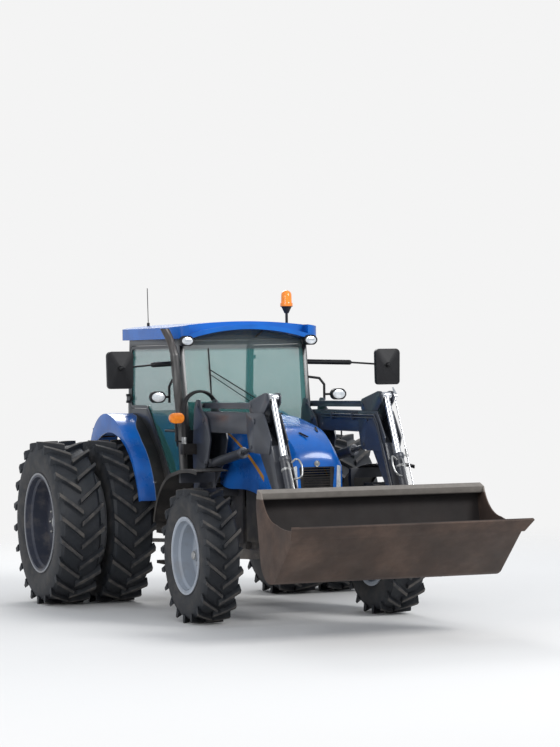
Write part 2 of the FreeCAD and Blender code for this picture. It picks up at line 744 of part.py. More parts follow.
# The roof's front is a visor arched between two lamp corners
roof_low = s.cab_top + s.running_gap
roof = roof_solid(0, 170, roof_low, crown_radius)
roof_room = roof_solid(125, 90, roof_low - 30, crown_radius - s.roof_thick)
roof_room = roof_room.cut(box((-900, 900), (s.roof_front - 50, visor_back), (roof_low - 60, s.roof_crown)))
visor_reach = pane_reach + 4
visor_front = s.roof_front - 20
above_visor = box((-visor_reach, visor_reach), (visor_front, -1290), (roof_low - 5, s.roof_crown + 50))
above_visor = above_visor.cut(arch(s.visor_radius, visor_front - 10, 0))
below_visor = box((-visor_reach, visor_reach), (visor_front, visor_back + 5), (roof_low - 5, s.roof_crown))
below_visor = below_visor.common(arch(visor_low, visor_front - 10, 0))
roof = roof.cut(roof_room).cut(above_visor).cut(below_visor)


def oval(x, z, wide, tall, front, back):
    # An upright lamp body, rounded at both ends
    a, b = wide / 2, tall / 2
    corners = [(x - a, z - b, b), (x + a, z - b, b), (x + a, z + b, b), (x - a, z + b, b)]
    return prism("front", corners, front, back)


corner_lamp_x = s.cab_half_width - 20
corner_lamp = (corner_lamp_x, 2538, 132, 96)
roof_lamp_room = oval(corner_lamp[0], corner_lamp[1], corner_lamp[2] + 1, corner_lamp[3] + 1, -1450, -1329.7)
roof = roof.cut(roof_lamp_room).cut(mirrored(roof_lamp_room))
node(feature("roof_shell", roof), "cab_roof")


# Seat, console and steering wheel

seat_floor = s.cab_floor + 40
seat_base = fused([
    box((-170, 170), (-420, -120), (seat_floor + 0.3, seat_floor + 260)),
    box((-240, 240), (-560, -60), (seat_floor + 260, seat_floor + 290)),
])
cushion_z = seat_floor + 290.6
node(feature("seat_soft", Part.makeCompound([
    box((-240, 240), (-600, -130), (cushion_z, cushion_z + 110)),
    box((-230, 230), (-125, -15), (cushion_z, cushion_z + 620)),
])), "seat_cushions")
console = fused([
    prism("side", [(-1330, seat_floor + 0.3), (-1330, 1680), (-1130, 1740), (-1120, 1690), (-1200, 1500),
                   (-1180, seat_floor + 0.3)], -150, 150),
    bar((0, -1180, 1600), (0, -1000, 1800), 25),
])
wheel_centre = Vector(0, -1003, 1798)
wheel_axis = Vector(0, 170, 190).normalize()
wheel_turn = Rotation(Vector(0, 0, 1), wheel_axis)
ring = Part.makeTorus(195, 14)
spokes = [Part.makeBox(390, 26, 12, Vector(-195, -13, -6)), Part.makeBox(26, 195, 12, Vector(-13, 0, -6)),
          Part.makeCylinder(40, 24, Vector(0, 0, -14))]
steering = fused([ring] + spokes)
steering.Placement = Placement(wheel_centre + wheel_axis * 12, wheel_turn)
cab_inside = Part.makeCompound([seat_base, fused([console, steering])])
node(feature("cab_fittings_shape", cab_inside), "cab_fittings")


# Hood, grille and headlamps

def hood_section(y, half, low, waist, shoulder, top, inset=0):
    # Rounded box section: sides, sloped shoulders and a crowned top
    w = half - inset
    t = top - inset
    points = [
        Vector(-w, y, low), Vector(-w, y, waist), Vector(-w * shoulder, y, t - 26), Vector(0, y, t),
        Vector(w * shoulder, y, t - 26), Vector(w, y, waist), Vector(w, y, low),
    ]
    curve = Part.Arc(points[2], points[3], points[4]).toShape()
    left = Part.Arc(points[1], Vector(-w * (0.36 + 0.64 * shoulder), y, waist + 0.72 * (t - 26 - waist)),
                    points[2]).toShape()
    right = Part.Arc(points[4], Vector(w * (0.36 + 0.64 * shoulder), y, waist + 0.72 * (t - 26 - waist)),
                     points[5]).toShape()
    return Part.Wire([
        Part.makeLine(points[0], points[1]), left, curve, right, Part.makeLine(points[5], points[6]),
        Part.makeLine(points[6], points[0]),
    ])


hood_table = (
    # y, half width, low edge, waist height, shoulder share, top
    (-2980, 244, 1012, 1340, 0.72, 1450),
    (-2948, 256, 1010, 1392, 0.70, 1535),
    (-2800, 286, 1006, 1448, 0.68, 1655),
    (-2560, 318, 1075, 1505, 0.69, 1742),
    (-2200, 346, 1160, 1565, 0.72, 1800),
    (-1560, 372, 1200, 1605, 0.75, 1822),
)


def hood_loft(rows, inset):
    # The nose up to its crease, then one smooth skin back to the windshield
    sections = [hood_section(*row, inset) for row in rows]
    nose = Part.makeLoft(sections[:2], True, True)
    return nose.fuse(Part.makeLoft(sections[1:], True, False)).removeSplitter()


inner_rows = [(y, half, low - 30, waist - 6, shoulder, top)
              for y, half, low, waist, shoulder, top in hood_table]
inner_rows[0] = (inner_rows[0][0] + s.hood_wall,) + inner_rows[0][1:]
inner_rows[-1] = (inner_rows[-1][0] + 5,) + inner_rows[-1][1:]
hood = hood_loft(hood_table, 0).cut(hood_loft(inner_rows, s.hood_wall))
nose_front = hood_table[0][0]
grille_outline = [(-142, 1040), (-172, 1392, 16), (172, 1392, 16), (142, 1040)]
grille_window = prism("front", grille_outline, nose_front - 60, nose_front + 30)
hood = hood.cut(grille_window)
lamp_outline = [(184, 1150, 10), (196, 1408, 10), (229, 1392, 16), (227, 1150, 10)]
lamp_cut = prism("front", lamp_outline, nose_front - 60, nose_front + 25)
hood = hood.cut(lamp_cut).cut(mirrored(lamp_cut))
hinge_front, hinge_back = s.hood_hinge_y - 40, s.hood_hinge_y + 35
lug_top = prism("side", [(hinge_front, s.hood_hinge_z - 17), (hinge_front, 1807), (hinge_back, 1811),
                         (hinge_back, s.hood_hinge_z - 17)], 60, 80)
lug_hole = across(s.hood_hinge_y, s.hood_hinge_z, 50, 90, 9 + s.running_gap)
hood = fused([hood, lug_top.cut(lug_hole), mirrored(lug_top.cut(lug_hole))])
node(feature("hood_shell", hood), "hood")


def shrunk(points, gap):
    # An outline moved inward all round
    return Part.Face(Part.Wire([edge.toShape() for edge in outline(points)]).makeOffset2D(-gap))


def front_solid(face, front, back):
    solid = face.extrude(Vector(0, 0, back - front))
    solid.Placement = Placement(plane_turns["front"].multVec(Vector(0, 0, -back)), plane_turns["front"])
    return solid


grille = front_solid(shrunk(grille_outline, s.running_gap), nose_front + 4, nose_front + 14)
slot_step, slot_height = 22, 12
slot_floors = [1060 + slot_step * row for row in range(15)]
slots = [box((-130, 130), (nose_front - 10, nose_front + 30), (z, z + slot_height)) for z in slot_floors]
grille = grille.cut(Part.makeCompound(slots))
node(feature("grille_panel", grille), "grille")
lamp = front_solid(shrunk(lamp_outline, s.running_gap), nose_front - 5, nose_front + 18)
both_sides(feature("headlamp_shape", lamp), "headlamps")


# Exhaust stack with its heat shield

pipe_radius, muffler_radius = 38, 44
stack_points = [
    (-s.engine_width / 2 - s.running_gap, -1850, 1240), (-275, -1850, 1240), (-275, -1468, 1240),
    (-700, -1468, 1240), (-720, -1468, 1740), (-779, -1468, 2400), (-806, -1468, 2500), (-838, -1468, 2580),
    (-886, -1468, 2670),
]
stack_parts = [bar(start, end, pipe_radius) for start, end in zip(stack_points, stack_points[1:])]
stack_parts += [Part.makeSphere(pipe_radius, Vector(*point)) for point in stack_points[1:-1]]
stack_parts.append(bar(stack_points[4], stack_points[5], muffler_radius))
stack_parts.append(Part.makeSphere(muffler_radius, Vector(*stack_points[5])))
stack = fused(stack_parts)
# The pipe's mouth is cut level and bored
mouth = Part.makeCylinder(pipe_radius - 4, 110, Vector(*stack_points[-2]),
                          Vector(*stack_points[-1]) - Vector(*stack_points[-2]))
stack = stack.cut(mouth).cut(box((-1000, -700), (-1600, -1350), (2655, 2760)))
node(feature("exhaust_shape", stack), "exhaust")


# Loader towers, their brackets and pins

tower_points = [
    (-1548, 1150), (-1525, 1500, 200), (-1575, 1900, 60), (-1630, 1988, 30), (-1715, 1988, 30),
    (-1765, 1900, 20), (-1910, 1815, 40), (-1985, 1620, 50), (-1900, 1420, 40), (-1840, 1365, 60),
    (-1625, 1150),
]
outer_start = "Sizes.arm_offset + Sizes.arm_width / 2 + 6"
inner_start = "Sizes.arm_offset - Sizes.arm_width / 2 - 6 - Sizes.arm_plate"
outer_plate = plate_body("tower_outer", "side", tower_points, outer_start, "Sizes.arm_plate")
inner_plate = plate_body("tower_inner", "side", tower_points, inner_start, "Sizes.arm_plate")
plate_low = arm_low - outer_gap
plate_high = arm_high + outer_gap
tower_extra = feature("tower_pins", Part.makeCompound([fused([
    across(*boom_pivot, plate_low - 12, plate_high + 12, s.big_pin_radius),
    across(*link_rear, plate_low - 8, plate_high + 8, s.small_pin_radius),
    across(*lift_base, plate_low - 8, plate_high + 8, s.small_pin_radius),
    prism("side", [(-1625, 1085), (-1625, 1165), (-1545, 1165), (-1545, 1085)], 200.3, plate_high),
    prism("side", [(-1560, 1150), (-1545, 1500), (-1560, 1700), (-1548, 1700), (-1533, 1500), (-1548, 1150)],
          plate_low, plate_high),
    box((200.3, 222), (-1740, -1450), (640, 1165)),
])]))
tower = joined("tower_left", [outer_plate, inner_plate, tower_extra])
both_sides(tower, "loader_towers")


# Boom: box arms with knee plates and a cross tube

down = Vector(-0.465, -0.885, 0)
ahead = Vector(-0.885, 0.465, 0)
tip = Vector(boom_tip[0], boom_tip[1], 0)


def beside_tip(along, out):
    point = tip - down * along + ahead * out
    return (point.x, point.y)


beam_points = [
    (-1745, 1815), (-1770, 1882, 60), (-3260, 1882, 40), (-3385, 1665, 60),
    beside_tip(880, 74), beside_tip(0, 60), beside_tip(-62, 60) + (50,), beside_tip(-62, -60) + (50,),
    beside_tip(0, -60), beside_tip(830, -78) + (60,), (-3120, 1560, 50), (-3050, 1680, 50), (-2900, 1692, 40),
    (-1900, 1692, 90), (-1750, 1740, 60),
]
arm_body = plate_body("arm_box", "side", beam_points,
                      "Sizes.arm_offset - Sizes.arm_width / 2", "Sizes.arm_width")
rocker_room = feature("rocker_room", prism("side", [
    (-2850, 2000), (-2850, 1850, 20), (-2950, 1735, 40), (-3050, 1728, 20),
    (-3305, 1550, 30), (-3372, 1570, 20), (-3500, 1690), (-3500, 2000),
], arm_low - 1, arm_high + 1))
arm_cut = doc.addObject("Part::Cut", "arm_open")
arm_cut.Base = arm_body
arm_cut.Tool = rocker_room
gusset_points = [
    (-2860, 1884, 20), (-3262, 1884, 30), (-3432, 1652, 20), (-3385, 1528, 20), (-3060, 1530, 30),
    (-2930, 1542, 40), (-2880, 1690, 60),
]
gusset_out = plate_body("gusset_outer", "side", gusset_points,
                        "Sizes.arm_offset + Sizes.arm_width / 2", "Sizes.arm_plate")
gusset_in = plate_body("gusset_inner", "side", gusset_points,
                       "Sizes.arm_offset - Sizes.arm_width / 2 - Sizes.arm_plate", "Sizes.arm_plate")
arm_pins = feature("arm_pins", fused([
    across(*rocker_pivot, arm_low - 24, arm_high + 24, s.big_pin_radius),
    across(*lift_pin, arm_high, arm_high + 24, s.small_pin_radius),
    across(*lift_pin, arm_low - 24, arm_low, s.small_pin_radius),
]))
arm_joined = joined("arm_left", [arm_cut, gusset_out, gusset_in, arm_pins])
bores = feature("arm_bores", Part.makeCompound([
    across(*boom_pivot, arm_low - 5, arm_high + 5, s.big_pin_radius + s.pin_gap),
    across(*boom_tip, arm_low - 5, arm_high + 5, s.big_pin_radius + s.pin_gap),
]))
arm_done = doc.addObject("Part::Cut", "arm_done")
arm_done.Base = arm_joined
arm_done.Tool = bores
cross_point = beside_tip(430, 0)
cross_tube = cross_bar("cross_tube", "60", "2 * Sizes.arm_offset - Sizes.arm_width",
                       (-arm_low, cross_point[0], cross_point[1]))
node(joined("boom_frame", [arm_done, flipped(arm_done), cross_tube]), "boom")


# Upper links and rockers

def strap(start, end, radius):
    # Outline of a bar with square ends past its two pins
    along = Vector(end[0] - start[0], end[1] - start[1], 0).normalize()
    side = Vector(-along.y, along.x, 0)
    corners = []
    for point, sign in ((start, -1), (end, 1)):
        centre = Vector(point[0], point[1], 0) + along * (sign * radius)
        for turn in (sign, -sign):
            corner = centre + side * (turn * radius * -1)
            corners.append((corner.x, corner.y, radius * 0.6))
    return corners


link_points = strap(link_rear, link_front, s.link_height / 2)
link_holes = [(*link_rear, s.small_pin_radius + s.pin_gap), (*link_front, s.small_pin_radius + s.pin_gap)]
link = plate_body("upper_link", "side", link_points, "Sizes.arm_offset - 38", "76", link_holes)
both_sides(link, "upper_links")

rocker_points = [
    (rocker_top[0] - 40, rocker_top[1] + 42, 38), (rocker_top[0] + 45, rocker_top[1] + 42, 30),
    (link_front[0] + 42, link_front[1] + 40, 36), (link_front[0] + 38, link_front[1] - 42, 30),
    (rocker_pivot[0] + 34, rocker_pivot[1] - 44, 34), (rocker_pivot[0] - 46, rocker_pivot[1] - 34, 34),
    (rocker_top[0] - 42, rocker_top[1] - 46, 40),
]
rocker_parts = []
for index, start in enumerate(("Sizes.arm_offset + 50", "Sizes.arm_offset - 62")):
    rocker_parts.append(plate_body(f"rocker_plate_{index}", "side", rocker_points, start, "12"))
rocker_extra = feature("rocker_extra", fused([
    across(*rocker_pivot, s.arm_offset - 66, s.arm_offset + 66, 40),
    across(*link_front, s.arm_offset - 66, s.arm_offset + 66, s.small_pin_radius),
]))
rocker_joined = joined("rocker_joined", rocker_parts + [rocker_extra])
rocker_stubs = feature("rocker_stubs", Part.makeCompound([
    fused([across(*rocker_top, s.arm_offset + 50, s.arm_offset + 65, s.small_pin_radius),
           across(*rocker_top, s.arm_offset + 62, s.arm_offset + 65, 30)]),
    fused([across(*rocker_top, s.arm_offset - 65, s.arm_offset - 50, s.small_pin_radius),
           across(*rocker_top, s.arm_offset - 65, s.arm_offset - 62, 30)]),
]))
rocker_all = joined("rocker_all", [rocker_joined, rocker_stubs])
rocker_bore = feature("rocker_bore", across(*rocker_pivot, arm_low - 5, arm_high + 5,
                                            s.big_pin_radius + s.pin_gap))
rocker = doc.addObject("Part::Cut", "rocker")
rocker.Base = rocker_all
rocker.Tool = rocker_bore
both_sides(rocker, "rockers")


# Cylinders

def cylinder_pair(name, base, eye, barrel_radius, barrel_length, rod_radius, eye_radius, half_width):
    # Barrel pinned at its base, rod sliding in it towards an eye held between plates
    pin_radius = s.small_pin_radius
    start = Vector(s.arm_offset, base[0], base[1])
    end = Vector(s.arm_offset, eye[0], eye[1])
    way = (end - start).normalize()
    full = (end - start).Length
    barrel = Part.makeCylinder(barrel_radius, barrel_length - 20, start + way * 20, way)
    gland = Part.makeCylinder(barrel_radius + 6, 40, start + way * (barrel_length - 40), way)
    base_eye = across(base[0], base[1], s.arm_offset - half_width, s.arm_offset + half_width, eye_radius)
    barrel = fused([barrel, gland, base_eye])
    room = Part.makeCylinder(rod_radius + s.running_gap, barrel_length, start + way * 120, way)
    hole = across(base[0], base[1], s.arm_offset - half_width - 5, s.arm_offset + half_width + 5,
                  pin_radius + s.pin_gap)
    barrel = barrel.cut(room).cut(hole)
    rod_start = barrel_length - (barrel_length - 120) * 0.55
    rod = Part.makeCylinder(rod_radius, full - rod_start, start + way * rod_start, way)
    rod_eye = across(eye[0], eye[1], s.arm_offset - half_width, s.arm_offset + half_width, eye_radius)
    rod_hole = across(eye[0], eye[1], s.arm_offset - half_width - 5, s.arm_offset + half_width + 5,
                      pin_radius + s.pin_gap)
    rod = fused([rod, rod_eye]).cut(rod_hole)
    both_sides(feature(name + "_barrel", barrel), name + "_barrels")
    both_sides(feature(name + "_rod", rod), name + "_rods")


cylinder_pair("lift", lift_base, lift_pin, s.lift_barrel_radius, s.lift_barrel_length,
              s.lift_rod_radius, 36, 62)
cylinder_pair("tool", tool_pin, rocker_top, s.tool_barrel_radius, s.tool_barrel_length,
              s.tool_rod_radius, 34, 45)


# Bucket and tool carrier

bucket_outer = [
    ((-4990, 982), None, (-4500, 522)),
    ((-4500, 522), (-4290, 516), (-4176, 690)),
    ((-4176, 690), None, (-4098, 1090)),
    ((-4098, 1090), (-4102, 1180), (-4135, 1262)),
]


def profile_edges(rows):
    edges = []
    for start, middle, end in rows:
        ends = [Vector(0, *start), Vector(0, *end)]
        if middle:
            edges.append(Part.Arc(ends[0], Vector(0, *middle), ends[1]).toShape())
        else:
            edges.append(Part.makeLine(*ends))
    return edges


bucket_path = Part.Wire(profile_edges(bucket_outer))
side_top = [
    ((-4135, 1262), None, (-4207, 1234)),
    ((-4207, 1234), (-4330, 1062), (-4520, 992)),
    ((-4520, 992), (-4750, 958), (-4990, 982)),
]
side_face = Part.Face(Part.Wire(profile_edges(bucket_outer) + profile_edges(side_top)))
side_plate = side_face.extrude(Vector(s.bucket_side, 0, 0))
low_x = s.bucket_half_width - s.bucket_side
left_side = side_plate.copy()
left_side.translate(Vector(low_x, 0, 0))
inner_way = [
    ((-4983, 993), None, (-4497, 533)),
    ((-4497, 533), (-4297, 527), (-4186, 693)),
    ((-4186, 693), None, (-4108, 1092)),
    ((-4108, 1092), (-4112, 1178), (-4144, 1258)),
]
wrap = Part.Face(Part.Wire(
    profile_edges(bucket_outer)
    + [Part.makeLine(Vector(0, -4135, 1262), Vector(0, -4144, 1258))]
    + list(reversed(profile_edges(inner_way)))
    + [Part.makeLine(Vector(0, -4983, 993), Vector(0, -4990, 982))]))
shell = wrap.extrude(Vector(2 * s.bucket_half_width, 0, 0))
shell.translate(Vector(-s.bucket_half_width, 0, 0))
top_beam = prism("side", [(-4128, 1266), (-4207, 1236), (-4190, 1180), (-4104, 1200)],
                 -s.bucket_half_width, s.bucket_half_width)
edge_reach = s.bucket_half_width + s.edge_overhang
cutting_edge = prism("plan", [
    (-edge_reach, -5008), (edge_reach, -5008), (edge_reach - 40, -4880), (-edge_reach + 40, -4880),
], 860, 1020).common(prism("side", [(-5008, 984), (-4990, 1000), (-4880, 897), (-4892, 884)],
                           -edge_reach - 5, edge_reach + 5))
bucket = fused([shell, left_side, mirrored(left_side), top_beam, cutting_edge])
node(feature("bucket_shape", bucket), "bucket")

carrier_points = [
    (tool_pin[0] + 42, tool_pin[1] + 46, 40), (tool_pin[0] - 50, tool_pin[1] + 60, 60), (-4070, 1030, 20),
    (-4111, 1020, 10), (-4178, 684), (-4290, 560, 10), (-4200, 470, 60),
    (boom_tip[0] - 20, boom_tip[1] - 56, 50),
    (boom_tip[0] + 50, boom_tip[1] - 50, 46), (boom_tip[0] + 46, boom_tip[1] + 60, 60),
]
carrier_plates = []
for index, start in enumerate((outer_start, inner_start)):
    carrier_plates.append(plate_body(f"carrier_plate_{index}", "side", carrier_points, start,
                                     "Sizes.arm_plate"))
carrier_pins = feature("carrier_pins", fused([
    across(*boom_tip, plate_low - 12, plate_high + 12, s.big_pin_radius),
    across(*tool_pin, plate_low - 10, plate_high + 10, s.small_pin_radius),
    prism("side", [(-4060, 960), (-4020, 930), (-4050, 880), (-4100, 900)], plate_low, plate_high),
    prism("side", [(-4180, 520), (-4140, 560), (-4100, 520), (-4140, 480)], plate_low, plate_high),
]))
carrier_side = joined("carrier_side", carrier_plates + [carrier_pins])
carrier_tube = cross_bar("carrier_tube", "38", "2 * Sizes.arm_offset", (-s.arm_offset, -4135, 520))
carrier_bar = cross_bar("carrier_bar", "32", "2 * Sizes.arm_offset", (-s.arm_offset, -4055, 925))
carrier_raw = joined("carrier_raw", [carrier_side, flipped(carrier_side), carrier_tube, carrier_bar])
bucket_body = Part.Face(Part.Wire(profile_edges(bucket_outer) + [
    Part.makeLine(Vector(0, -4135, 1262), Vector(0, -4990, 982))])).extrude(
        Vector(2 * s.bucket_half_width, 0, 0))
bucket_body.translate(Vector(-s.bucket_half_width, 0, 0))
carrier_cut = doc.addObject("Part::Cut", "carrier_cut")
carrier_cut.Base = carrier_raw
carrier_cut.Tool = feature("bucket_outside", bucket_body)
node(carrier_cut, "tool_carrier")


# Three-point linkage and drawbar

lower_eye = (1010, 520)
top_eye = (865, 900)
gearbox_side = s.gearbox_width / 2 + s.running_gap
hitch_left = fused([
    bar((260, 180, 560), (400, *lower_eye), 20),
    across(*lower_eye, 376, 424, 36),
    bar((240, 235, 960), (330, 520, 930), 28),
    bar((330, 520, 930), (335, 620, 540), 18),
    Part.makeSphere(32, Vector(330, 520, 930)),
    across(180, 560, gearbox_side, 290, 34),
    across(235, 960, gearbox_side, 270, 40),
])
hitch_left = hitch_left.cut(across(*lower_eye, 370, 430, 14.5))
gearbox_back = 257.3
top_link = fused([bar((0, 240, 930), (0, *top_eye), 20), across(*top_eye, -22, 22, 32),
                  box((-30, 30), (gearbox_back, 300), (850, 950))])
top_link = top_link.cut(across(*top_eye, -40, 40, 12.75))
top_link = top_link.cut(box((-100, 100), (0, gearbox_back), (800, 1050)))
draw_points = [(-500, 400), (-500, 432), (s.drawbar_reach + 60, 432, 10), (s.drawbar_reach + 60, 400, 10)]
drawbar = prism("side", draw_points, -42, 42)
hanger = box((-70, 70), (60, 120), (395, hub_height - 300 - s.running_gap))
drawbar = fused([drawbar, hanger]).cut(
    bar((0, s.drawbar_reach, 380), (0, s.drawbar_reach, 460), s.drawbar_pin_radius))
hitch = Part.makeCompound([hitch_left, mirrored(hitch_left), top_link, drawbar])
node(feature("hitch_shape", hitch), "rear_hitch")


# Tank, battery box and steps

tank = plate_body("fuel_tank_body", "side", [
    (-1330, 470, 60), (-1330, 930, 60), (-1240, 850, 20), (-1100, 850, 20), (-1060, 930, 40), (-700, 930, 60),
    (-700, 640, 60), (-900, 470, 60)], "260", "340")
battery = plate_body("battery_body", "side", [
    (-1330, 560, 40), (-1330, 840, 40), (-860, 840, 40), (-860, 560, 40)], "-600", "340")
tank_holders = feature("tank_holders", Part.makeCompound([
    box((-265, -200.3), (-1080, -980), (600, 800)),
    box((200.3, 265), (-1080, -980), (600, 800)),
]))
step_low, step_high = s.cab_half_width - 40, s.cab_half_width + 150
step_parts = [box((step_low, step_high), (-1300, -960), (z, z + 30)) for z in (430, 720)]
step_parts += [box((step_low - 9.7, step_low + 2), (y, y + 12), (430, s.cab_floor - s.running_gap))
               for y in (-1300, -972)]
step_left = feature("step_left", fused(step_parts))
node(grouped("tanks_and_steps", [joined("tank_and_battery", [tank, battery, tank_holders]), step_left,
                                 flipped(step_left)]), "side_tanks_and_steps")


# Mirrors, lamps, beacon and antenna

cab_side = s.cab_half_width + s.running_gap
mirror_x = s.cab_half_width + 707
mirror_root = (s.cab_half_width - 10, -1235, 2330)
mirror_elbow = (s.cab_half_width + 350, -1480, 2318)
mirror_ball = (mirror_x, -1598, 2290)
mirror_face = [(mirror_x - 122, 2100, 34), (mirror_x - 128, 2445, 44), (mirror_x + 128, 2445, 44),
               (mirror_x + 122, 2100, 34)]
mirror_arm = fused([
    bar(mirror_root, mirror_elbow, 24),
    bar(mirror_elbow, mirror_ball, 9),
    Part.makeSphere(24, Vector(*mirror_elbow)),
    Part.makeSphere(24, Vector(*mirror_ball)),
    prism("front", mirror_face, -1592, -1545),
])
mirror_arm = mirror_arm.cut(box((0, cab_side), (-1400, -1100), (2200, 2400)))
both_sides(feature("mirror_shape", mirror_arm), "mirrors")

work_lamp_x = s.cab_half_width + 273
work_lamp = fused([
    oval(work_lamp_x, 2015, 150, 108, -1400, -1350),
    oval(work_lamp_x, 2015, 90, 60, -1352, -1325),
    bar((work_lamp_x - 60, -1345, 2015), (work_lamp_x - 130, -1345, 2015), 11),
    bar((work_lamp_x - 130, -1345, 1960), (work_lamp_x - 130, -1345, 2110), 12),
    Part.makeSphere(12, Vector(work_lamp_x - 130, -1345, 2110)),
    bar((work_lamp_x - 130, -1345, 2110), (work_lamp_x - 170, -1320, 2170), 12),
    Part.makeSphere(12, Vector(work_lamp_x - 170, -1320, 2170)),
    bar((work_lamp_x - 170, -1320, 2170), (s.cab_half_width - 5, -1300, 2185), 12),
])
work_lamp = work_lamp.cut(box((0, cab_side), (-1400, -1200), (1900, 2300)))
roof_lamp = oval(*corner_lamp, -1412, -1330)
# What stands on the roof ends just over its skin
roof_skin = roof_solid(0, 170, roof_low - 60, crown_radius + s.running_gap)
antenna = fused([bar((-450, 170, 2640), (-450, 172, 2735), 14), bar((-450, 171, 2700), (-450, 190, 3080), 4)])
antenna_part = feature("antenna_shape", antenna.cut(roof_skin))
lamp_pair = feature("work_lamp_shape", Part.makeCompound([roof_lamp, work_lamp]))
node(grouped("lamps_and_antenna", [lamp_pair, flipped(lamp_pair), antenna_part]), "work_lamps_and_antenna")

beacon_x, beacon_y = 450, -1250
beacon_rows = (
    # bottom, height, lower radius, upper radius
    (2660, 140, 13, 13),
    (2796, 66, 20, 52),
    (2860, 34, 60, 60),
    (2892, 78, 52, 50),
)
beacon_parts = [Part.makeCone(low_r, high_r, tall, Vector(beacon_x, beacon_y, z)) if low_r != high_r
                else Part.makeCylinder(low_r, tall, Vector(beacon_x, beacon_y, z))
                for z, tall, low_r, high_r in beacon_rows]
beacon_parts.append(Part.makeSphere(50, Vector(beacon_x, beacon_y, 2968)))
beacon = fused(beacon_parts).cut(roof_skin)
turn_x, turn_y = s.cab_half_width + 190, -1640
turn_lamp = fused([
    oval(turn_x, 1822, 140, 96, turn_y - 40, turn_y + 5),
    bar((turn_x, turn_y + 5, 1822), (turn_x, turn_y + 5, 1700), 11),
    Part.makeSphere(11, Vector(turn_x, turn_y + 5, 1700)),
    bar((turn_x, turn_y + 5, 1700), (turn_x, -1362, 1700), 11),
    Part.makeSphere(11, Vector(turn_x, -1362, 1700)),
    bar((turn_x, -1362, 1700), (s.cab_half_width - 5, -1362, 1700), 11),
    bar((turn_x, turn_y + 5, 1700), (turn_x, turn_y + 5, 1610), 8),
    Part.makeSphere(8, Vector(turn_x, turn_y + 5, 1610)),
    bar((turn_x, turn_y + 5, 1610), (turn_x - 55, turn_y + 5, 1600), 8),
])
turn_lamp = turn_lamp.cut(box((0, cab_side), (-1450, -1300), (1600, 1900)))
node(feature("amber_shape", Part.makeCompound([beacon, turn_lamp, mirrored(turn_lamp)])), "amber_lamps")


# Hydraulic hoses looped over the right tower between two manifolds

hose_radius, hose_bend = 12, 160
hose_outer_x = -s.arm_offset - s.arm_width / 2 - 126
hose_inner_x = hose_outer_x + 2 * hose_bend
bend_z = 1905
outer_block = box((hose_outer_x - 25, -plate_high - s.running_gap), (-1632, -1548), (1480, 1580))
inner_block = box((-plate_low + s.running_gap, hose_inner_x + 22), (-1632, -1548), (1600, 1660))
hose_parts = [outer_block, inner_block]
for y in (-1564, -1590, -1616):
    up_leg = bar((hose_outer_x, y, 1570), (hose_outer_x, y, bend_z), hose_radius)
    down_leg = bar((hose_inner_x, y, 1650), (hose_inner_x, y, bend_z), hose_radius)
    bend_centre = Vector(hose_outer_x + hose_bend, y, bend_z)
    bend = Part.makeTorus(hose_bend, hose_radius, bend_centre, Vector(0, 1, 0))
    bend = bend.common(box((hose_outer_x - 50, hose_inner_x + 50), (y - 50, y + 50), (bend_z, bend_z + 300)))
    hose_parts += [up_leg, down_leg, bend]
node(feature("hose_loop", fused(hose_parts)), "loader_hoses")

doc.recompute()


# Place every node round the middle of the whole tractor, then check and write it

low_y = min(item.Shape.BoundBox.YMin for item in nodes)
high_y = max(item.Shape.BoundBox.YMax for item in nodes)
rear_axle_y = -(low_y + high_y) / 2
sheet.set("D1", "rear axle place")
sheet.set("E1", str(rear_axle_y))
sheet.setAlias("E1", "rear_axle_place")
standing = ("rim", "tyre", "front_axle", "knuckle", "front_fender")
for item in nodes:
    base = item.Placement.Base
    item.setExpression("Placement.Base.y", f"Sizes.rear_axle_place + {base.y}")
    if not item.Label.startswith(standing):
        item.setExpression("Placement.Base.z", f"Sizes.rear_tyre_diameter / 2 - Sizes.axle_height + {base.z}")
doc.recompute()

faults = [f"{item.Name} {item.State}" for item in doc.Objects
          if "Invalid" in item.State or "Error" in item.State]
faults += [f"{item.Label} shape" for item in nodes if item.Shape.isNull() or not item.Shape.isValid()]
if faults:
    raise RuntimeError("failed: " + ", ".join(faults))
for item in nodes:
    item.Shape.exportStep(f"parts/{item.Label}.step")
print(f"{len(nodes)} nodes, rear axle at y {rear_axle_y:.3f}")
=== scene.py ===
import json
import math

import bpy
from mathutils import Matrix, Vector


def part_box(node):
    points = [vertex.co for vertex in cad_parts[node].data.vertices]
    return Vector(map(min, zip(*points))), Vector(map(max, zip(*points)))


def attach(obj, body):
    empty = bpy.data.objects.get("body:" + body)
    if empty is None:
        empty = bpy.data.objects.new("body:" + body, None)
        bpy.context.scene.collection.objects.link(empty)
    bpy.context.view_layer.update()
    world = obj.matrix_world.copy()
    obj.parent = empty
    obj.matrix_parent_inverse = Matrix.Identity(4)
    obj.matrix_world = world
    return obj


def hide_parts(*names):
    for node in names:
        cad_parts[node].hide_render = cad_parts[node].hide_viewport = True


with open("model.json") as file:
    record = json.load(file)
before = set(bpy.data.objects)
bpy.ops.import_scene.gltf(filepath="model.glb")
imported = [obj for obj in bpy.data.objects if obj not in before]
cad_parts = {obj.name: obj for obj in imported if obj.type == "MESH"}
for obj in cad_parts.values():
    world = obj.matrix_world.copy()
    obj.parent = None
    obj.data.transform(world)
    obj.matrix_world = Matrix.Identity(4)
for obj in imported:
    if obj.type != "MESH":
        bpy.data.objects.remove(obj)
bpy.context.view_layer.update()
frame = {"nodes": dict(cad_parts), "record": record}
nodes = frame["nodes"]
print("frame loaded with", len(nodes), "nodes")

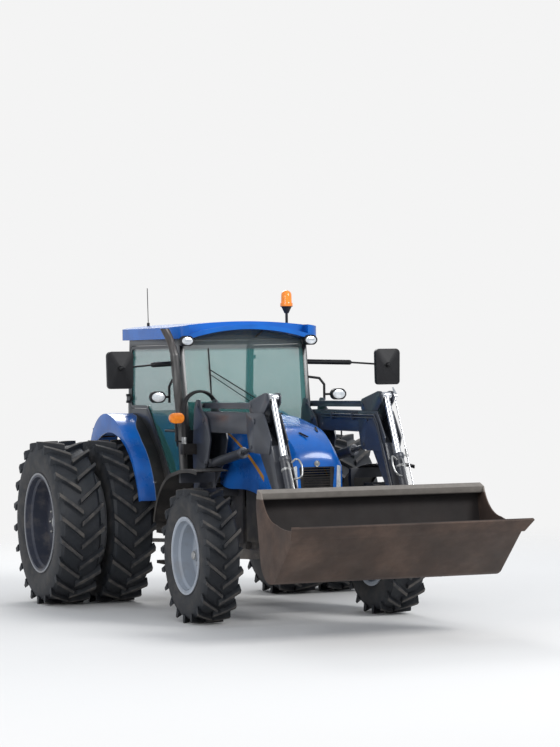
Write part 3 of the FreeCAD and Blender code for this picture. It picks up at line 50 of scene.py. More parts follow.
# places read from the frame: the axles, and the way back from the front
wheels = {}
for corner in ("front_left", "front_right"):
    low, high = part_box("tyre_" + corner)
    wheels[corner] = (low + high) / 2
for corner in ("rear_left", "rear_right"):
    low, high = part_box("tyres_" + corner)
    wheels[corner] = (low + high) / 2
rearY = wheels["rear_left"].y
tyreRadius = {
    "front": (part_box("tyre_front_left")[1].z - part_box("tyre_front_left")[0].z) / 2,
    "rear": (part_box("tyres_rear_left")[1].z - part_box("tyres_rear_left")[0].z) / 2,
}


# Shader building

class Wire:
    # a shader socket that adds Math nodes when it stands in a Python sum
    def __init__(self, paint, socket):
        self.paint = paint
        self.socket = socket

    def maths(self, operation, first, second=None, third=None):
        values = {0: first}
        if second is not None:
            values[1] = second
        if third is not None:
            values[2] = third
        return self.paint.node("ShaderNodeMath", {"operation": operation}, values)

    def __add__(self, other):
        return self.maths("ADD", self, other)

    def __radd__(self, other):
        return self.maths("ADD", other, self)

    def __sub__(self, other):
        return self.maths("SUBTRACT", self, other)

    def __rsub__(self, other):
        return self.maths("SUBTRACT", other, self)

    def __mul__(self, other):
        return self.maths("MULTIPLY", self, other)

    def __rmul__(self, other):
        return self.maths("MULTIPLY", other, self)

    def __truediv__(self, other):
        return self.maths("DIVIDE", self, other)

    def __rtruediv__(self, other):
        return self.maths("DIVIDE", other, self)

    def __pow__(self, other):
        return self.maths("POWER", self, other)

    def __neg__(self):
        return self.maths("MULTIPLY", self, -1.0)

    def below(self, limit):
        return self.maths("LESS_THAN", self, limit)

    def above(self, limit):
        return self.maths("GREATER_THAN", self, limit)

    def least(self, other):
        return self.maths("MINIMUM", self, other)

    def most(self, other):
        return self.maths("MAXIMUM", self, other)

    def wave(self):
        return self.maths("SINE", self)

    def size(self):
        return self.maths("ABSOLUTE", self)

    def root(self):
        return self.maths("SQRT", self)

    def fade(self, low, high):
        # 0 below low, 1 above high, smooth between
        return self.paint.node(
            "ShaderNodeMapRange",
            {"interpolation_type": "SMOOTHSTEP"},
            {0: self, 1: low, 2: high, 3: 0.0, 4: 1.0},
        )


class Paint:
    # one material, its nodes made by a single method
    def __init__(self, name):
        self.material = bpy.data.materials.new(name)
        self.material.use_nodes = True
        self.tree = self.material.node_tree
        self.tree.nodes.clear()
        self.place = self.node("ShaderNodeTexCoord", {}, {}, 3)
        parts = self.tree.nodes.new("ShaderNodeSeparateXYZ")
        self.tree.links.new(self.place.socket, parts.inputs[0])
        self.x, self.y, self.z = [Wire(self, socket) for socket in parts.outputs]

    def node(self, kind, settings, values, out=0):
        made = self.tree.nodes.new(kind)
        for key, value in settings.items():
            if key != "stops":
                setattr(made, key, value)
                continue
            stops = made.color_ramp.elements
            while len(stops) < len(value):
                stops.new(0.5)
            for stop, (where, colour) in zip(stops, value):
                stop.position = where
                stop.color = (*colour, 1.0)
        for key, value in values.items():
            if isinstance(value, Wire):
                self.tree.links.new(value.socket, made.inputs[key])
            elif isinstance(value, tuple) and len(value) == 3 and made.inputs[key].type == "RGBA":
                made.inputs[key].default_value = (*value, 1.0)
            else:
                made.inputs[key].default_value = value
        return Wire(self, made.outputs[out])

    def noise(self, scale, detail=4.0, rough=0.55, stretch=None):
        where = self.place
        if stretch:
            where = self.node("ShaderNodeMapping", {}, {0: self.place, 3: stretch})
        return self.node("ShaderNodeTexNoise", {}, {0: where, 2: scale, 3: detail, 4: rough})

    def cells(self, scale, feature="F1"):
        return self.node("ShaderNodeTexVoronoi", {"feature": feature}, {0: self.place, 2: scale})

    def blend(self, share, first, second):
        return self.node("ShaderNodeMix", {"data_type": "RGBA"}, {0: share, 6: first, 7: second}, 2)

    def ramp(self, share, *stops):
        return self.node("ShaderNodeValToRGB", {"stops": stops}, {0: share})

    def bump(self, height, strength=0.3, distance=0.002, under=None):
        values = {0: strength, 1: distance, 2 if bpy.app.version < (4, 4) else "Height": height}
        if under:
            values["Normal"] = under
        return self.node("ShaderNodeBump", {}, values)

    def facing(self):
        # how far the surface looks up, from -1 to 1
        normal = self.node("ShaderNodeNewGeometry", {}, {}, 1)
        parts = self.tree.nodes.new("ShaderNodeSeparateXYZ")
        self.tree.links.new(normal.socket, parts.inputs[0])
        return Wire(self, parts.outputs[2])

    def finish(self, **sockets):
        shader = self.tree.nodes.new("ShaderNodeBsdfPrincipled")
        names = {
            "colour": "Base Color", "rough": "Roughness", "metal": "Metallic", "coat": "Coat Weight",
            "coatRough": "Coat Roughness", "normal": "Normal", "alpha": "Alpha", "through": "Transmission Weight",
            "ior": "IOR", "glow": "Emission Color", "glowPower": "Emission Strength", "specular":
            "Specular IOR Level", "sheen": "Sheen Weight",
        }
        for key, value in sockets.items():
            socket = shader.inputs[names[key]]
            if isinstance(value, Wire):
                self.tree.links.new(value.socket, socket)
            elif isinstance(value, tuple):
                socket.default_value = (*value, 1.0)
            else:
                socket.default_value = value
        output = self.tree.nodes.new("ShaderNodeOutputMaterial")
        self.tree.links.new(shader.outputs[0], output.inputs[0])
        return self.material


# Finishes

dust = (0.36, 0.30, 0.245)


def dustMask(paint, low, high, amount):
    # field dust: thick near the ground and on faces that look up, broken by noise
    height = 1.0 - paint.z.fade(low, high)
    patches = paint.noise(5.0, 6.0, 0.6).fade(0.42, 0.68)
    upward = paint.facing().fade(0.3, 1.0)
    return (height * (0.35 + 0.65 * patches) + upward * patches * 0.35) * amount


def bluePaint():
    look = {
        "base": (0.002, 0.155, 0.62), "shade": (0.001, 0.090, 0.40),
        # the seam colour is a painted highlight along the fender seam
        "stripe": (0.62, 0.27, 0.02), "black": (0.010, 0.011, 0.012), "seamHighlight": (0.20, 0.26, 0.38),
    }
    paint = Paint("blueGloss")
    across, along, up = paint.x.size(), paint.y - rearY, paint.z
    colour = paint.blend(paint.noise(2.2, 3.0).fade(0.35, 0.7), look["base"], look["shade"])
    # the hood's stripe falls in a curve towards the nose and widens
    back = along + 1.648
    drop = (up - (1.682 + back * 0.179 - back * back * 0.3375)).size()
    wide = 0.007 - back * 0.022
    stripe = (1.0 - (drop - wide).fade(-0.001, 0.001)) * (0.0 - back).fade(0.0, 0.06) * (along + 2.52).fade(0.0, 0.01)
    stripe = stripe * across.fade(0.20, 0.22) * up.below(2.2)
    colour = paint.blend(stripe, colour, look["stripe"])
    # the rear fenders are black inside a seam that runs towards the cab, and a painted highlight runs along that seam
    limit = 0.765 - along.fade(-0.35, 0.0) * 0.105
    fender = along.above(-1.2) * up.below(2.3)
    inner = (limit - across).fade(-0.001, 0.001) * fender
    # painted highlight: a thin light line along the fender seam, which the bump also presses in as a groove
    seamHighlight = (1.0 - (limit - across).size().fade(0.002, 0.004)) * fender
    colour = paint.blend(inner, colour, look["black"])
    colour = paint.blend(seamHighlight * 0.7, colour, look["seamHighlight"])
    # a closed hatch in the roof
    hatch = (across - 0.33).most((along + 0.55).size() - 0.36).size()
    groove = (1.0 - hatch.fade(0.002, 0.005)) * up.above(2.6)
    colour = paint.blend(groove * 0.85, colour, look["black"])
    share = dustMask(paint, 0.7, 1.7, 0.14).least(0.6)
    colour = paint.blend(share, colour, dust)
    ripple = paint.noise(160.0, 2.0) * 0.2 - groove - seamHighlight * 0.4
    return paint.finish(
        colour=colour, rough=0.26 + share * 0.5 + inner * 0.25, coat=0.35 - share * 0.35, coatRough=0.04,
        specular=0.35,
        normal=paint.bump(ripple, 0.25, 0.0008),
    )


def loaderPaint():
    paint = Paint("loaderGrey")
    base = paint.blend(paint.noise(3.0, 4.0).fade(0.35, 0.7), (0.040, 0.047, 0.064), (0.026, 0.030, 0.040))
    scratches = paint.noise(14.0, 8.0, 0.7, (1.0, 1.0, 9.0)).fade(0.62, 0.72)
    base = paint.blend(scratches * 0.35, base, (0.16, 0.15, 0.15))
    share = dustMask(paint, 0.4, 1.9, 0.26).least(0.8)
    colour = paint.blend(share, base, dust)
    return paint.finish(
        colour=colour, rough=0.38 + share * 0.4, coat=0.25 - share * 0.25, coatRough=0.2,
        normal=paint.bump(paint.noise(90.0, 3.0), 0.08, 0.001),
    )


bucketBend = {"y": -4.38967, "z": 0.70564, "radius": 0.21424}


def bucketSteel():
    paint = Paint("bucketRust")
    rust = paint.ramp(
        paint.noise(2.4, 9.0, 0.62), (0.25, (0.022, 0.014, 0.011)), (0.5, (0.050, 0.030, 0.022)),
        (0.68, (0.092, 0.056, 0.040)), (0.85, (0.16, 0.115, 0.085)),
    )
    scuffs = paint.noise(7.0, 7.0, 0.7, (0.4, 2.0, 2.0)).fade(0.60, 0.78)
    colour = paint.blend(scuffs * 0.25, rust, (0.16, 0.125, 0.105))
    soil = dustMask(paint, 0.6, 1.25, 0.4).least(0.8)
    colour = paint.blend(soil * 0.35, colour, (0.18, 0.14, 0.11))
    # how far a point lies inside the floor, the back and the bend between them, where the bucket's inner faces get
    # painted shade
    along, up = paint.y - rearY, paint.z
    overFloor = (along + 4.990) * 0.6845 + (up - 0.982) * 0.729
    beforeBack = (up - 0.690) * 0.1914 - (along + 4.176) * 0.9816
    bend = bucketBend["radius"] - ((along - bucketBend["y"]) ** 2.0 + (up - bucketBend["z"]) ** 2.0).root()
    bend = bend.most((up - 0.690) * 5.0).most((-4.5 - along) * 5.0)
    inside = overFloor.least(beforeBack).least(bend).least(1.036 - paint.x.size()).fade(0.005, 0.008)
    # painted shade: the bucket's inside is blended almost to black
    colour = paint.blend(inside * 0.85, colour, (0.010, 0.008, 0.008))
    # the beam along the top of the back is the dustiest part
    beam = up.fade(1.180, 1.195) * (along + 4.30).fade(0.0, 0.04)
    colour = paint.blend(beam * (0.35 + 0.4 * paint.noise(12.0, 5.0, 0.65)), colour, (0.34, 0.31, 0.275))
    pits = paint.noise(60.0, 6.0, 0.6)
    return paint.finish(
        colour=colour, rough=0.62 + paint.noise(7.0) * 0.25, metal=scuffs * 0.25,
        normal=paint.bump(pits, 0.25, 0.002),
    )


def castIron():
    paint = Paint("castGrey")
    base = paint.blend(paint.noise(4.0, 5.0).fade(0.35, 0.7), (0.030, 0.033, 0.042), (0.055, 0.056, 0.062))
    share = dustMask(paint, 0.3, 1.3, 0.55).least(0.85)
    return paint.finish(
        colour=paint.blend(share, base, dust), rough=0.6 + share * 0.3,
        normal=paint.bump(paint.noise(120.0, 4.0), 0.2, 0.0015),
    )


def rimPaint(name, base, edge, corner, flangeRadius, slots):
    # one colour on the disc and another at the flange's edge, both dusty, with slots round the disc painted near-black
    # as shade
    paint = Paint(name)
    centre = wheels[corner]
    radius = ((paint.y - centre.y) * (paint.y - centre.y) + (paint.z - centre.z) * (paint.z - centre.z)).root()
    flange = radius.fade(flangeRadius - 0.022, flangeRadius - 0.012)
    colour = paint.blend(flange, base, edge)
    height, reach = paint.z - centre.z, paint.y - centre.y
    turn = height.maths("ARCTAN2", height, reach)
    step = (turn * (slots / 2.0)).wave().size()
    ring = 1.0 - (radius - flangeRadius * 0.60).size().fade(0.012, 0.016)
    # painted shade: the slots are near-black marks with a pressed-in bump, standing for the shade in the disc's
    # openings
    slotShade = ring * step.fade(0.72, 0.78)
    colour = paint.blend(slotShade * 0.9, colour, (0.012, 0.013, 0.016))
    dirt = paint.noise(7.0, 7.0, 0.65).fade(0.45, 0.7) * 0.5 + 0.12
    middle = (1.0 - radius.fade(flangeRadius * 0.62, flangeRadius * 0.9)) * 0.15
    share = (dirt + middle).least(0.7) * (1.0 - slotShade)
    return paint.finish(
        colour=paint.blend(share * 0.6, colour, (0.26, 0.235, 0.21)), rough=0.42 + share * 0.4,
        normal=paint.bump(paint.noise(70.0, 3.0) * 0.3 - slotShade, 0.3, 0.002),
    )


def tyreRubber(name, corner, outside, inside):
    # dusty lug faces and sidewalls over dark rubber, told apart by their distance from the axle
    paint = Paint(name)
    centre = wheels[corner]
    radius = ((paint.y - centre.y) * (paint.y - centre.y) + (paint.z - centre.z) * (paint.z - centre.z)).root()
    rubber = paint.blend(paint.noise(6.0, 5.0).fade(0.35, 0.7), (0.010, 0.013, 0.018), (0.020, 0.023, 0.029))
    crown = radius.fade(outside - 0.012, outside - 0.002)
    wall = (1.0 - radius.fade(outside - 0.16, outside - 0.06))
    patches = paint.noise(9.0, 7.0, 0.65).fade(0.38, 0.66)
    share = (crown * (0.25 + 0.6 * patches) + wall * (0.10 + 0.28 * patches) + patches * 0.08).least(0.85)
    colour = paint.blend(share, rubber, (0.115, 0.104, 0.094))
    rings = ((radius - inside) * 260.0).wave() * wall * 0.4
    return paint.finish(
        colour=colour, rough=0.62 + share * 0.3,
        normal=paint.bump(rings + paint.noise(80.0, 5.0), 0.25, 0.0018),
    )


def blackPlastic():
    paint = Paint("blackPlastic")
    base = paint.blend(paint.noise(5.0, 4.0).fade(0.3, 0.7), (0.007, 0.007, 0.008), (0.013, 0.013, 0.015))
    share = dustMask(paint, 0.6, 2.2, 0.16).least(0.6)
    return paint.finish(
        colour=paint.blend(share, base, dust), rough=0.45 + share * 0.4, specular=0.3,
        normal=paint.bump(paint.cells(420.0), 0.12, 0.0006),
    )


def blackPaint():
    paint = Paint("blackPaint")
    base = paint.blend(paint.noise(4.0, 3.0).fade(0.3, 0.7), (0.010, 0.011, 0.012), (0.018, 0.019, 0.021))
    share = dustMask(paint, 0.7, 1.8, 0.2).least(0.6)
    return paint.finish(
        colour=paint.blend(share, base, dust), rough=0.34 + share * 0.45, coat=0.3 - share * 0.3, coatRough=0.15,
        normal=paint.bump(paint.noise(140.0, 2.0), 0.05, 0.0008),
    )


def cabGlass():
    # a see-through tint, deeper near the floor, in the top band and at low angles
    paint = Paint("cabGlass")
    smudge = paint.noise(3.0, 6.0, 0.6).fade(0.5, 0.8)
    grazing = paint.node("ShaderNodeLayerWeight", {}, {0: 0.35}, 1)
    band = paint.z.fade(2.44, 2.47)
    low = 1.0 - paint.z.fade(1.4, 2.3)
    tint = paint.blend(low, (0.06, 0.31, 0.29), (0.03, 0.17, 0.16))
    return paint.finish(
        colour=paint.blend(band, tint, (0.10, 0.13, 0.13)), rough=0.03 + smudge * 0.08, coat=1.0,
        alpha=(0.27 + low * 0.08 + band * 0.15 + smudge * 0.04 + grazing ** 3.0 * 0.5).least(0.9),
    )


def lampGlass():
    paint = Paint("lampGlass")
    ribs = (paint.x * 500.0).wave() + (paint.z * 500.0).wave() * 0.5
    tone = paint.blend(paint.noise(22.0).fade(0.35, 0.65), (0.86, 0.89, 0.91), (0.66, 0.70, 0.73))
    return paint.finish(
        colour=tone, rough=0.10 + paint.noise(20.0) * 0.06, metal=0.25, coat=1.0, coatRough=0.04,
        normal=paint.bump(ribs, 0.2, 0.0008),
    )


def amberPlastic():
    paint = Paint("amberPlastic")
    ribs = (paint.z * 700.0).wave()
    tone = paint.blend(paint.noise(30.0).fade(0.3, 0.7), (0.90, 0.27, 0.02), (0.75, 0.18, 0.015))
    # the beacon's dome and the two turn lamps' lenses; what carries them is black
    dome = paint.z.above(2.864)
    turn = paint.x.size().above(0.767) * paint.z.above(1.772) * (paint.y - rearY).below(-1.637)
    rear = (paint.y - rearY).above(0.3)
    lit = dome.most(turn).most(rear)
    return paint.finish(
        colour=paint.blend(lit, (0.014, 0.014, 0.015), tone), rough=0.16 + paint.noise(12.0) * 0.1 + (1.0 - lit) * 0.3,
        coat=lit * 0.6, coatRough=0.08, normal=paint.bump(ribs, 0.12, 0.0008),
        glow=paint.blend(dome, (0.0, 0.0, 0.0), (1.0, 0.28, 0.02)), glowPower=0.25,
    )


def mirrorFace():
    paint = Paint("mirrorFace")
    smears = paint.noise(14.0, 6.0, 0.6).fade(0.5, 0.8)
    return paint.finish(colour=(0.82, 0.84, 0.86), metal=1.0, rough=0.03 + smears * 0.12)


def zincSteel():
    paint = Paint("zincSteel")
    spots = paint.noise(60.0, 5.0, 0.6)
    grime = paint.noise(18.0, 6.0, 0.65).fade(0.5, 0.72)
    tone = paint.blend(grime * 0.6, (0.44, 0.44, 0.43), (0.12, 0.11, 0.10))
    return paint.finish(
        colour=tone, metal=0.8 - grime * 0.6, rough=0.30 + grime * 0.35, normal=paint.bump(spots, 0.1, 0.0006))


def creamPaint():
    paint = Paint("creamPaint")
    grime = paint.noise(22.0, 6.0, 0.65).fade(0.48, 0.7)
    tone = paint.blend(grime * 0.55, (0.62, 0.57, 0.42), (0.22, 0.19, 0.15))
    return paint.finish(colour=tone, rough=0.45 + grime * 0.3, normal=paint.bump(grime, 0.1, 0.0005))


def redLens():
    paint = Paint("redLens")
    ribs = (paint.x * 600.0).wave() * (paint.z * 600.0).wave()
    tone = paint.blend(paint.noise(20.0).fade(0.3, 0.7), (0.50, 0.012, 0.010), (0.34, 0.008, 0.008))
    return paint.finish(colour=tone, rough=0.18 + paint.noise(12.0) * 0.1, coat=0.7, coatRough=0.06,
                        normal=paint.bump(ribs, 0.2, 0.0008))


def exhaustSteel():
    paint = Paint("exhaustSteel")
    streaks = paint.noise(30.0, 6.0, 0.6, (1.0, 1.0, 0.12))
    colour = paint.ramp(streaks, (0.3, (0.07, 0.068, 0.067)), (0.6, (0.15, 0.147, 0.144)), (0.8, (0.24, 0.235, 0.23)))
    heat = paint.z.fade(2.35, 2.6)
    return paint.finish(
        colour=paint.blend(heat * 0.6, colour, (0.10, 0.085, 0.08)), metal=0.85, rough=0.34 + streaks * 0.18,
        normal=paint.bump(streaks, 0.1, 0.0006),
    )


def chromeRod():
    paint = Paint("chromeRod")
    marks = paint.noise(40.0, 5.0, 0.6, (1.0, 1.0, 0.2))
    return paint.finish(colour=(0.72, 0.73, 0.75), metal=1.0, rough=0.08 + marks * 0.14)


def seatCloth():
    paint = Paint("seatCloth")
    weave = (paint.x * 1400.0).wave() * ((paint.z + paint.y) * 1400.0).wave()
    colour = paint.blend(paint.noise(40.0, 3.0).fade(0.3, 0.7), (0.018, 0.020, 0.025), (0.035, 0.037, 0.045))
    # two sewn channels run down each cushion, with stitches beside them
    channel = 1.0 - (paint.x.size() - 0.135).size().fade(0.002, 0.006)
    beside = 1.0 - ((paint.x.size() - 0.135).size() - 0.010).size().fade(0.0008, 0.0016)
    stitch = beside * ((paint.y + paint.z) * 900.0).wave().above(0.0)
    colour = paint.blend(channel * 0.8, colour, (0.006, 0.006, 0.008))
    colour = paint.blend(stitch, colour, (0.12, 0.12, 0.13))
    return paint.finish(colour=colour, rough=0.9, sheen=0.3,
                        normal=paint.bump(weave * 0.15 - channel * 2.0 + stitch * 0.5, 0.4, 0.002))


finishes = {
    "blue_paint": bluePaint(),
    "loader_grey": loaderPaint(),
    "bucket_rust": bucketSteel(),
    "black_paint": blackPaint(),
    "cast_grey": castIron(),
    "glass": cabGlass(),
    "lamp_clear": lampGlass(),
    "amber": amberPlastic(),
    "black_plastic": blackPlastic(),
    "exhaust_steel": exhaustSteel(),
    "chrome_rod": chromeRod(),
    "seat_cloth": seatCloth(),
    "mirror": mirrorFace(),
    "zinc": zincSteel(),
    "creamPaint": creamPaint(),
    "redLens": redLens(),
}
slotOf = {part["node"]: part["material_slot"] for part in frame["record"]["subparts"]}
for corner, centre in wheels.items():
    axleName = corner.split("_")[0]
    rimNode = "rim_" + corner
    low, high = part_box(rimNode)
    flangeRadius = (high.z - low.z) / 2
    if axleName == "front":
        finishes[rimNode] = rimPaint(rimNode + "Paint", (0.34, 0.385, 0.45), (0.44, 0.48, 0.54), corner, flangeRadius,
                                     10.0)
        finishes["tyre_" + corner] = tyreRubber("tyre" + corner, corner, tyreRadius["front"], flangeRadius)
    else:
        finishes[rimNode] = rimPaint(rimNode + "Paint", (0.022, 0.030, 0.055), (0.28, 0.29, 0.31), corner,
                                     flangeRadius, 12.0)
        finishes["tyres_" + corner] = tyreRubber("tyre" + corner, corner, tyreRadius["rear"], flangeRadius)
print("finishes made:", len(finishes))


# Every frame node gets its finish, and all but the plain ones get rounded edges that catch the light

dressing = {"weldGap": 0.00002, "bevelWidth": 0.003, "smoothAngle": math.radians(28)}
plainEdges = ("tyre", "hood", "cab_roof", "glass", "seat_cushions", "rim", "steering", "engine")
for name, item in nodes.items():
    finish = finishes.get(name, finishes.get(slotOf[name]))
    item.data.materials.clear()
    item.data.materials.append(finish)
    for face in item.data.polygons:
        face.use_smooth = True
        face.material_index = 0
    weld = item.modifiers.new("weld", "WELD")
    weld.merge_threshold = dressing["weldGap"]
    if not any(word in name for word in plainEdges):
        bevel = item.modifiers.new("edges", "BEVEL")
        bevel.width = dressing["bevelWidth"]
        bevel.segments = 2
        bevel.limit_method = "ANGLE"
        bevel.angle_limit = math.radians(40)
        bevel.use_clamp_overlap = True
        bevel.harden_normals = False
    split = item.modifiers.new("sharp", "EDGE_SPLIT")
    split.split_angle = dressing["smoothAngle"]
print("frame nodes dressed")


# Modelling helpers

def place(x, y, z):
    # a point given from the rear axle and the ground, in metres
    return Vector((x, y + rearY, z))


def alone(item):
    bpy.ops.object.select_all(action="DESELECT")
    item.select_set(True)
    bpy.context.view_layer.objects.active = item


def settle(item, name):
    # the primitive's place, turn and size go into its mesh
    item.name = name
    bpy.ops.object.transform_apply(location=True, rotation=True, scale=True)
    return item


def startBox(name, middle, sizes):
    bpy.ops.object.select_all(action="DESELECT")
    bpy.ops.mesh.primitive_cube_add(size=1.0, location=middle)
    item = bpy.context.active_object
    item.scale = sizes
    return settle(item, name)


def startRound(name, middle, axis, radius, length, sides=32, tall=1.0):
    # a short cylinder, oval where its height isn't its width
    bpy.ops.object.select_all(action="DESELECT")
    turn = Vector(axis).to_track_quat("Z", "Y").to_euler()
    bpy.ops.mesh.primitive_cylinder_add(vertices=sides, radius=radius, depth=length, rotation=turn)
    item = settle(bpy.context.active_object, name)
    item.scale = (1.0, 1.0, tall)
    item.location = middle
    return settle(item, name)


def startPipe(name, points, radius, soft=True):
    # a round tube through points, straight between them where it isn't soft
    bpy.ops.object.select_all(action="DESELECT")
    bpy.ops.curve.primitive_bezier_curve_add(location=(0.0, 0.0, 0.0))
    item = bpy.context.active_object
    line = item.data.splines[0]
    line.bezier_points.add(len(points) - 2)
    for knot, point in zip(line.bezier_points, points):
        knot.co = point
        knot.handle_left_type = knot.handle_right_type = "AUTO" if soft else "VECTOR"
    item.data.bevel_depth = radius
    item.data.bevel_resolution = 4
    item.data.resolution_u = 10
    item.data.use_fill_caps = True
    bpy.ops.object.convert(target="MESH")
    return settle(bpy.context.active_object, name)


def choose(item, test):
    # edit mode, with the faces whose centre and normal pass the test selected
    alone(item)
    bpy.ops.object.mode_set(mode="EDIT")
    bpy.ops.mesh.select_mode(type="FACE")
    bpy.ops.mesh.select_all(action="DESELECT")
    bpy.ops.object.mode_set(mode="OBJECT")
    for face in item.data.polygons:
        face.select = bool(test(face.center, face.normal))
    bpy.ops.object.mode_set(mode="EDIT")


def inset(item, test, steps, paintSlot=None):
    # insets the chosen faces step after step, (width, height) each, in that slot's material
    choose(item, test)
    if paintSlot is not None:
        item.active_material_index = paintSlot
        bpy.ops.object.material_slot_assign()
    for width, height in steps:
        bpy.ops.mesh.inset(thickness=width, depth=height)
    bpy.ops.object.mode_set(mode="OBJECT")


def paintWith(item, *materials):
    for material in materials:
        item.data.materials.append(material)
    return item


def rounded(item, width, segments=2):
    alone(item)
    edge = item.modifiers.new("round", "BEVEL")
    edge.width = width
    edge.segments = segments
    edge.limit_method = "ANGLE"
    edge.angle_limit = math.radians(35)
    bpy.ops.object.modifier_apply(modifier="round")
    return item


def copied(item, matrix):
    twin = item.copy()
    twin.data = item.data.copy()
    twin.data.transform(matrix)
    if matrix.determinant() < 0:
        twin.data.flip_normals()
    bpy.context.scene.collection.objects.link(twin)
    return twin


def joined(items, name):
    alone(items[0])
    for item in items:
        item.select_set(True)
    bpy.ops.object.join()
    items[0].name = name
    return items[0]


def addTo(item, body, angle=35.0):
    alone(item)
    bpy.ops.object.shade_smooth_by_angle(angle=math.radians(angle))
    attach(item, body)
    return item


otherSide = Matrix.Scale(-1.0, 4, (1.0, 0.0, 0.0))


# Lamp lenses in dark rings, on the roof's corners and on the side brackets

lens = {
    # place, width, height
    "spots": (((0.630, -1.415, 2.538), 0.132, 0.096), ((0.923, -1.403, 2.015), 0.150, 0.108)),
    "depth": 0.012,
    "ring": ((0.009, 0.0), (0.002, -0.005)),
    "glass": ((0.014, 0.005), (0.016, 0.003)),
}
lenses = []
for spot, wide, tall in lens["spots"]:
    item = startRound("lamp", place(*spot), (0, -1, 0), wide / 2, lens["depth"], 40, tall / wide)
    paintWith(item, finishes["black_plastic"], finishes["lamp_clear"])
    inset(item, lambda c, n: n.y < -0.9, lens["ring"])
    front = place(*spot).y - lens["depth"] / 2 + 0.001
    inset(item, lambda c, n: n.y < -0.9 and c.y > front, lens["glass"], 1)
    lenses += [item, copied(item, otherSide)]
addTo(joined(lenses, "lampLenses"), "chassis")
print("lamp lenses made")


# Windshield wiper, two arms and an upright blade, and a short one under the roof

wiper = {"foot": (0.33, 1.83), "tip": (-0.40, 2.282), "gap": 0.045, "blade": (-0.365, 1.975, 2.465), "lift": 0.016}


def onShield(x, z, lift):
    # a point lifted off the sloped windshield
    return place(x, -1.374 + 0.1506 * (z - 1.7) - 0.989 * lift, z + 0.149 * lift)


(footX, footZ), (tipX, tipZ) = wiper["foot"], wiper["tip"]
bladeX, bladeLow, bladeHigh = wiper["blade"]
wiperParts = []
for drop, radius in ((0.0, 0.006), (wiper["gap"], 0.0045)):
    ends = [onShield(footX - drop, footZ - drop, 0.012), onShield(footX - 0.06 - drop, footZ + 0.037 - drop, 0.022),
            onShield(tipX + 0.03, tipZ - 0.02 - drop, 0.022), onShield(tipX + 0.025, tipZ - drop, 0.016)]
    wiperParts.append(startPipe("wiperArm", ends, radius, False))
    wiperParts.append(startRound("wiperFoot", onShield(footX - drop, footZ - drop, 0.008), (0, -0.989, 0.149),
                                 0.016, 0.024, 20))
blade = startPipe("wiperBlade", [onShield(bladeX, bladeLow, 0.007), onShield(bladeX, bladeHigh, 0.007)], 0.007, False)
spine = startPipe("wiperSpine", [
    onShield(bladeX, bladeLow + 0.05, 0.010), onShield(bladeX, (bladeLow + bladeHigh) / 2, 0.022),
    onShield(bladeX, bladeHigh - 0.05, 0.010)], 0.004)
topArm = startPipe("topWiper", [onShield(0.123, 2.571, 0.010), onShield(0.16, 2.60, 0.016),
                                onShield(0.215, 2.640, 0.012)], 0.006)
wiperParts += [blade, spine, topArm]
wiperSet = joined(wiperParts, "windshieldWiper")
paintWith(wiperSet, finishes["black_plastic"])
addTo(wiperSet, "chassis")
print("wiper made")


# Mirror glass, set in the back of each housing

mirror = {"middle": (1.357, -1.5440, 2.272), "sizes": (0.200, 0.006, 0.285), "rim": ((0.006, 0.0), (0.002, -0.002))}
mirrorPane = startBox("mirrorPane", place(*mirror["middle"]), mirror["sizes"])
rounded(mirrorPane, 0.002)
paintWith(mirrorPane, finishes["black_plastic"], finishes["mirror"])
inset(mirrorPane, lambda c, n: n.y > 0.9, mirror["rim"])
inset(mirrorPane, lambda c, n: n.y > 0.9 and abs(c.x - mirror["middle"][0]) < 0.02, ((0.001, 0.0),), 1)
addTo(joined([mirrorPane, copied(mirrorPane, otherSide)], "mirrorPanes"), "chassis")
print("mirror glass made")


# Wheel nuts round each hub, with a cap over its end

hub = {
    # body, distance out from the wheel's middle, ring radius, nuts, cap's place and radius
    "front": (-0.011, 0.128, 8, 0.066, 0.040),
    "rear": (0.540, 0.165, 10, 0.556, 0.060),
    "nut": (0.015, 0.018),
}
for corner, centre in wheels.items():
    axleName, sideName = corner.split("_")
    out = 1.0 if sideName == "left" else -1.0
    start, ringRadius, count, capStart, capRadius = hub[axleName]
    middleX = 0.910 if axleName == "front" else 0.945
    nutRadius, nutLength = hub["nut"]
    nutX = out * (middleX + start + nutLength / 2)
    nut = startRound("nut", (nutX, centre.y + ringRadius, centre.z), (out, 0, 0), nutRadius, nutLength, 6)
    inset(nut, lambda c, n: n.x * out > 0.9, ((0.004, 0.0), (0.001, 0.006), (0.001, 0.0)))
    rounded(nut, 0.0015, 1)
    nuts = []
    for index in range(count):
        turn = Matrix.Rotation(2 * math.pi * index / count, 4, "X")
        around = Matrix.Translation((0, centre.y, centre.z)) @ turn @ Matrix.Translation((0, -centre.y, -centre.z))
        nuts.append(copied(nut, around))
    cap = startRound("cap", (out * (middleX + capStart), centre.y, centre.z), (out, 0, 0), capRadius, 0.024, 32)
    inset(cap, lambda c, n: n.x * out > 0.9, ((0.006, 0.006), (0.010, 0.003), (0.012, -0.004)))
    rounded(cap, 0.002)
    bpy.data.objects.remove(nut)
    wheelNuts = joined(nuts + [cap], "wheelNuts." + corner)
    paintWith(wheelNuts, finishes["zinc"])
    bodyName = ("wheel_" if axleName == "front" else "wheels_") + corner
    addTo(wheelNuts, bodyName)
print("wheel nuts made")


# Nose badge, blank

badge = {"middle": (0.0, -2.9835, 1.4205), "radius": 0.0270, "depth": 0.007}
badgeDisc = startRound("noseBadge", place(*badge["middle"]), (0, -1, 0), badge["radius"], badge["depth"], 48)
inset(badgeDisc, lambda c, n: n.y < -0.9, ((0.003, 0.0), (0.001, -0.0025), (0.006, 0.0), (0.002, 0.0015)))
rounded(badgeDisc, 0.0008)
paintWith(badgeDisc, finishes["zinc"])
addTo(badgeDisc, "hood")
print("badge made")


# Hydraulic tubes: two along the inner side of each arm, one beside each tool cylinder

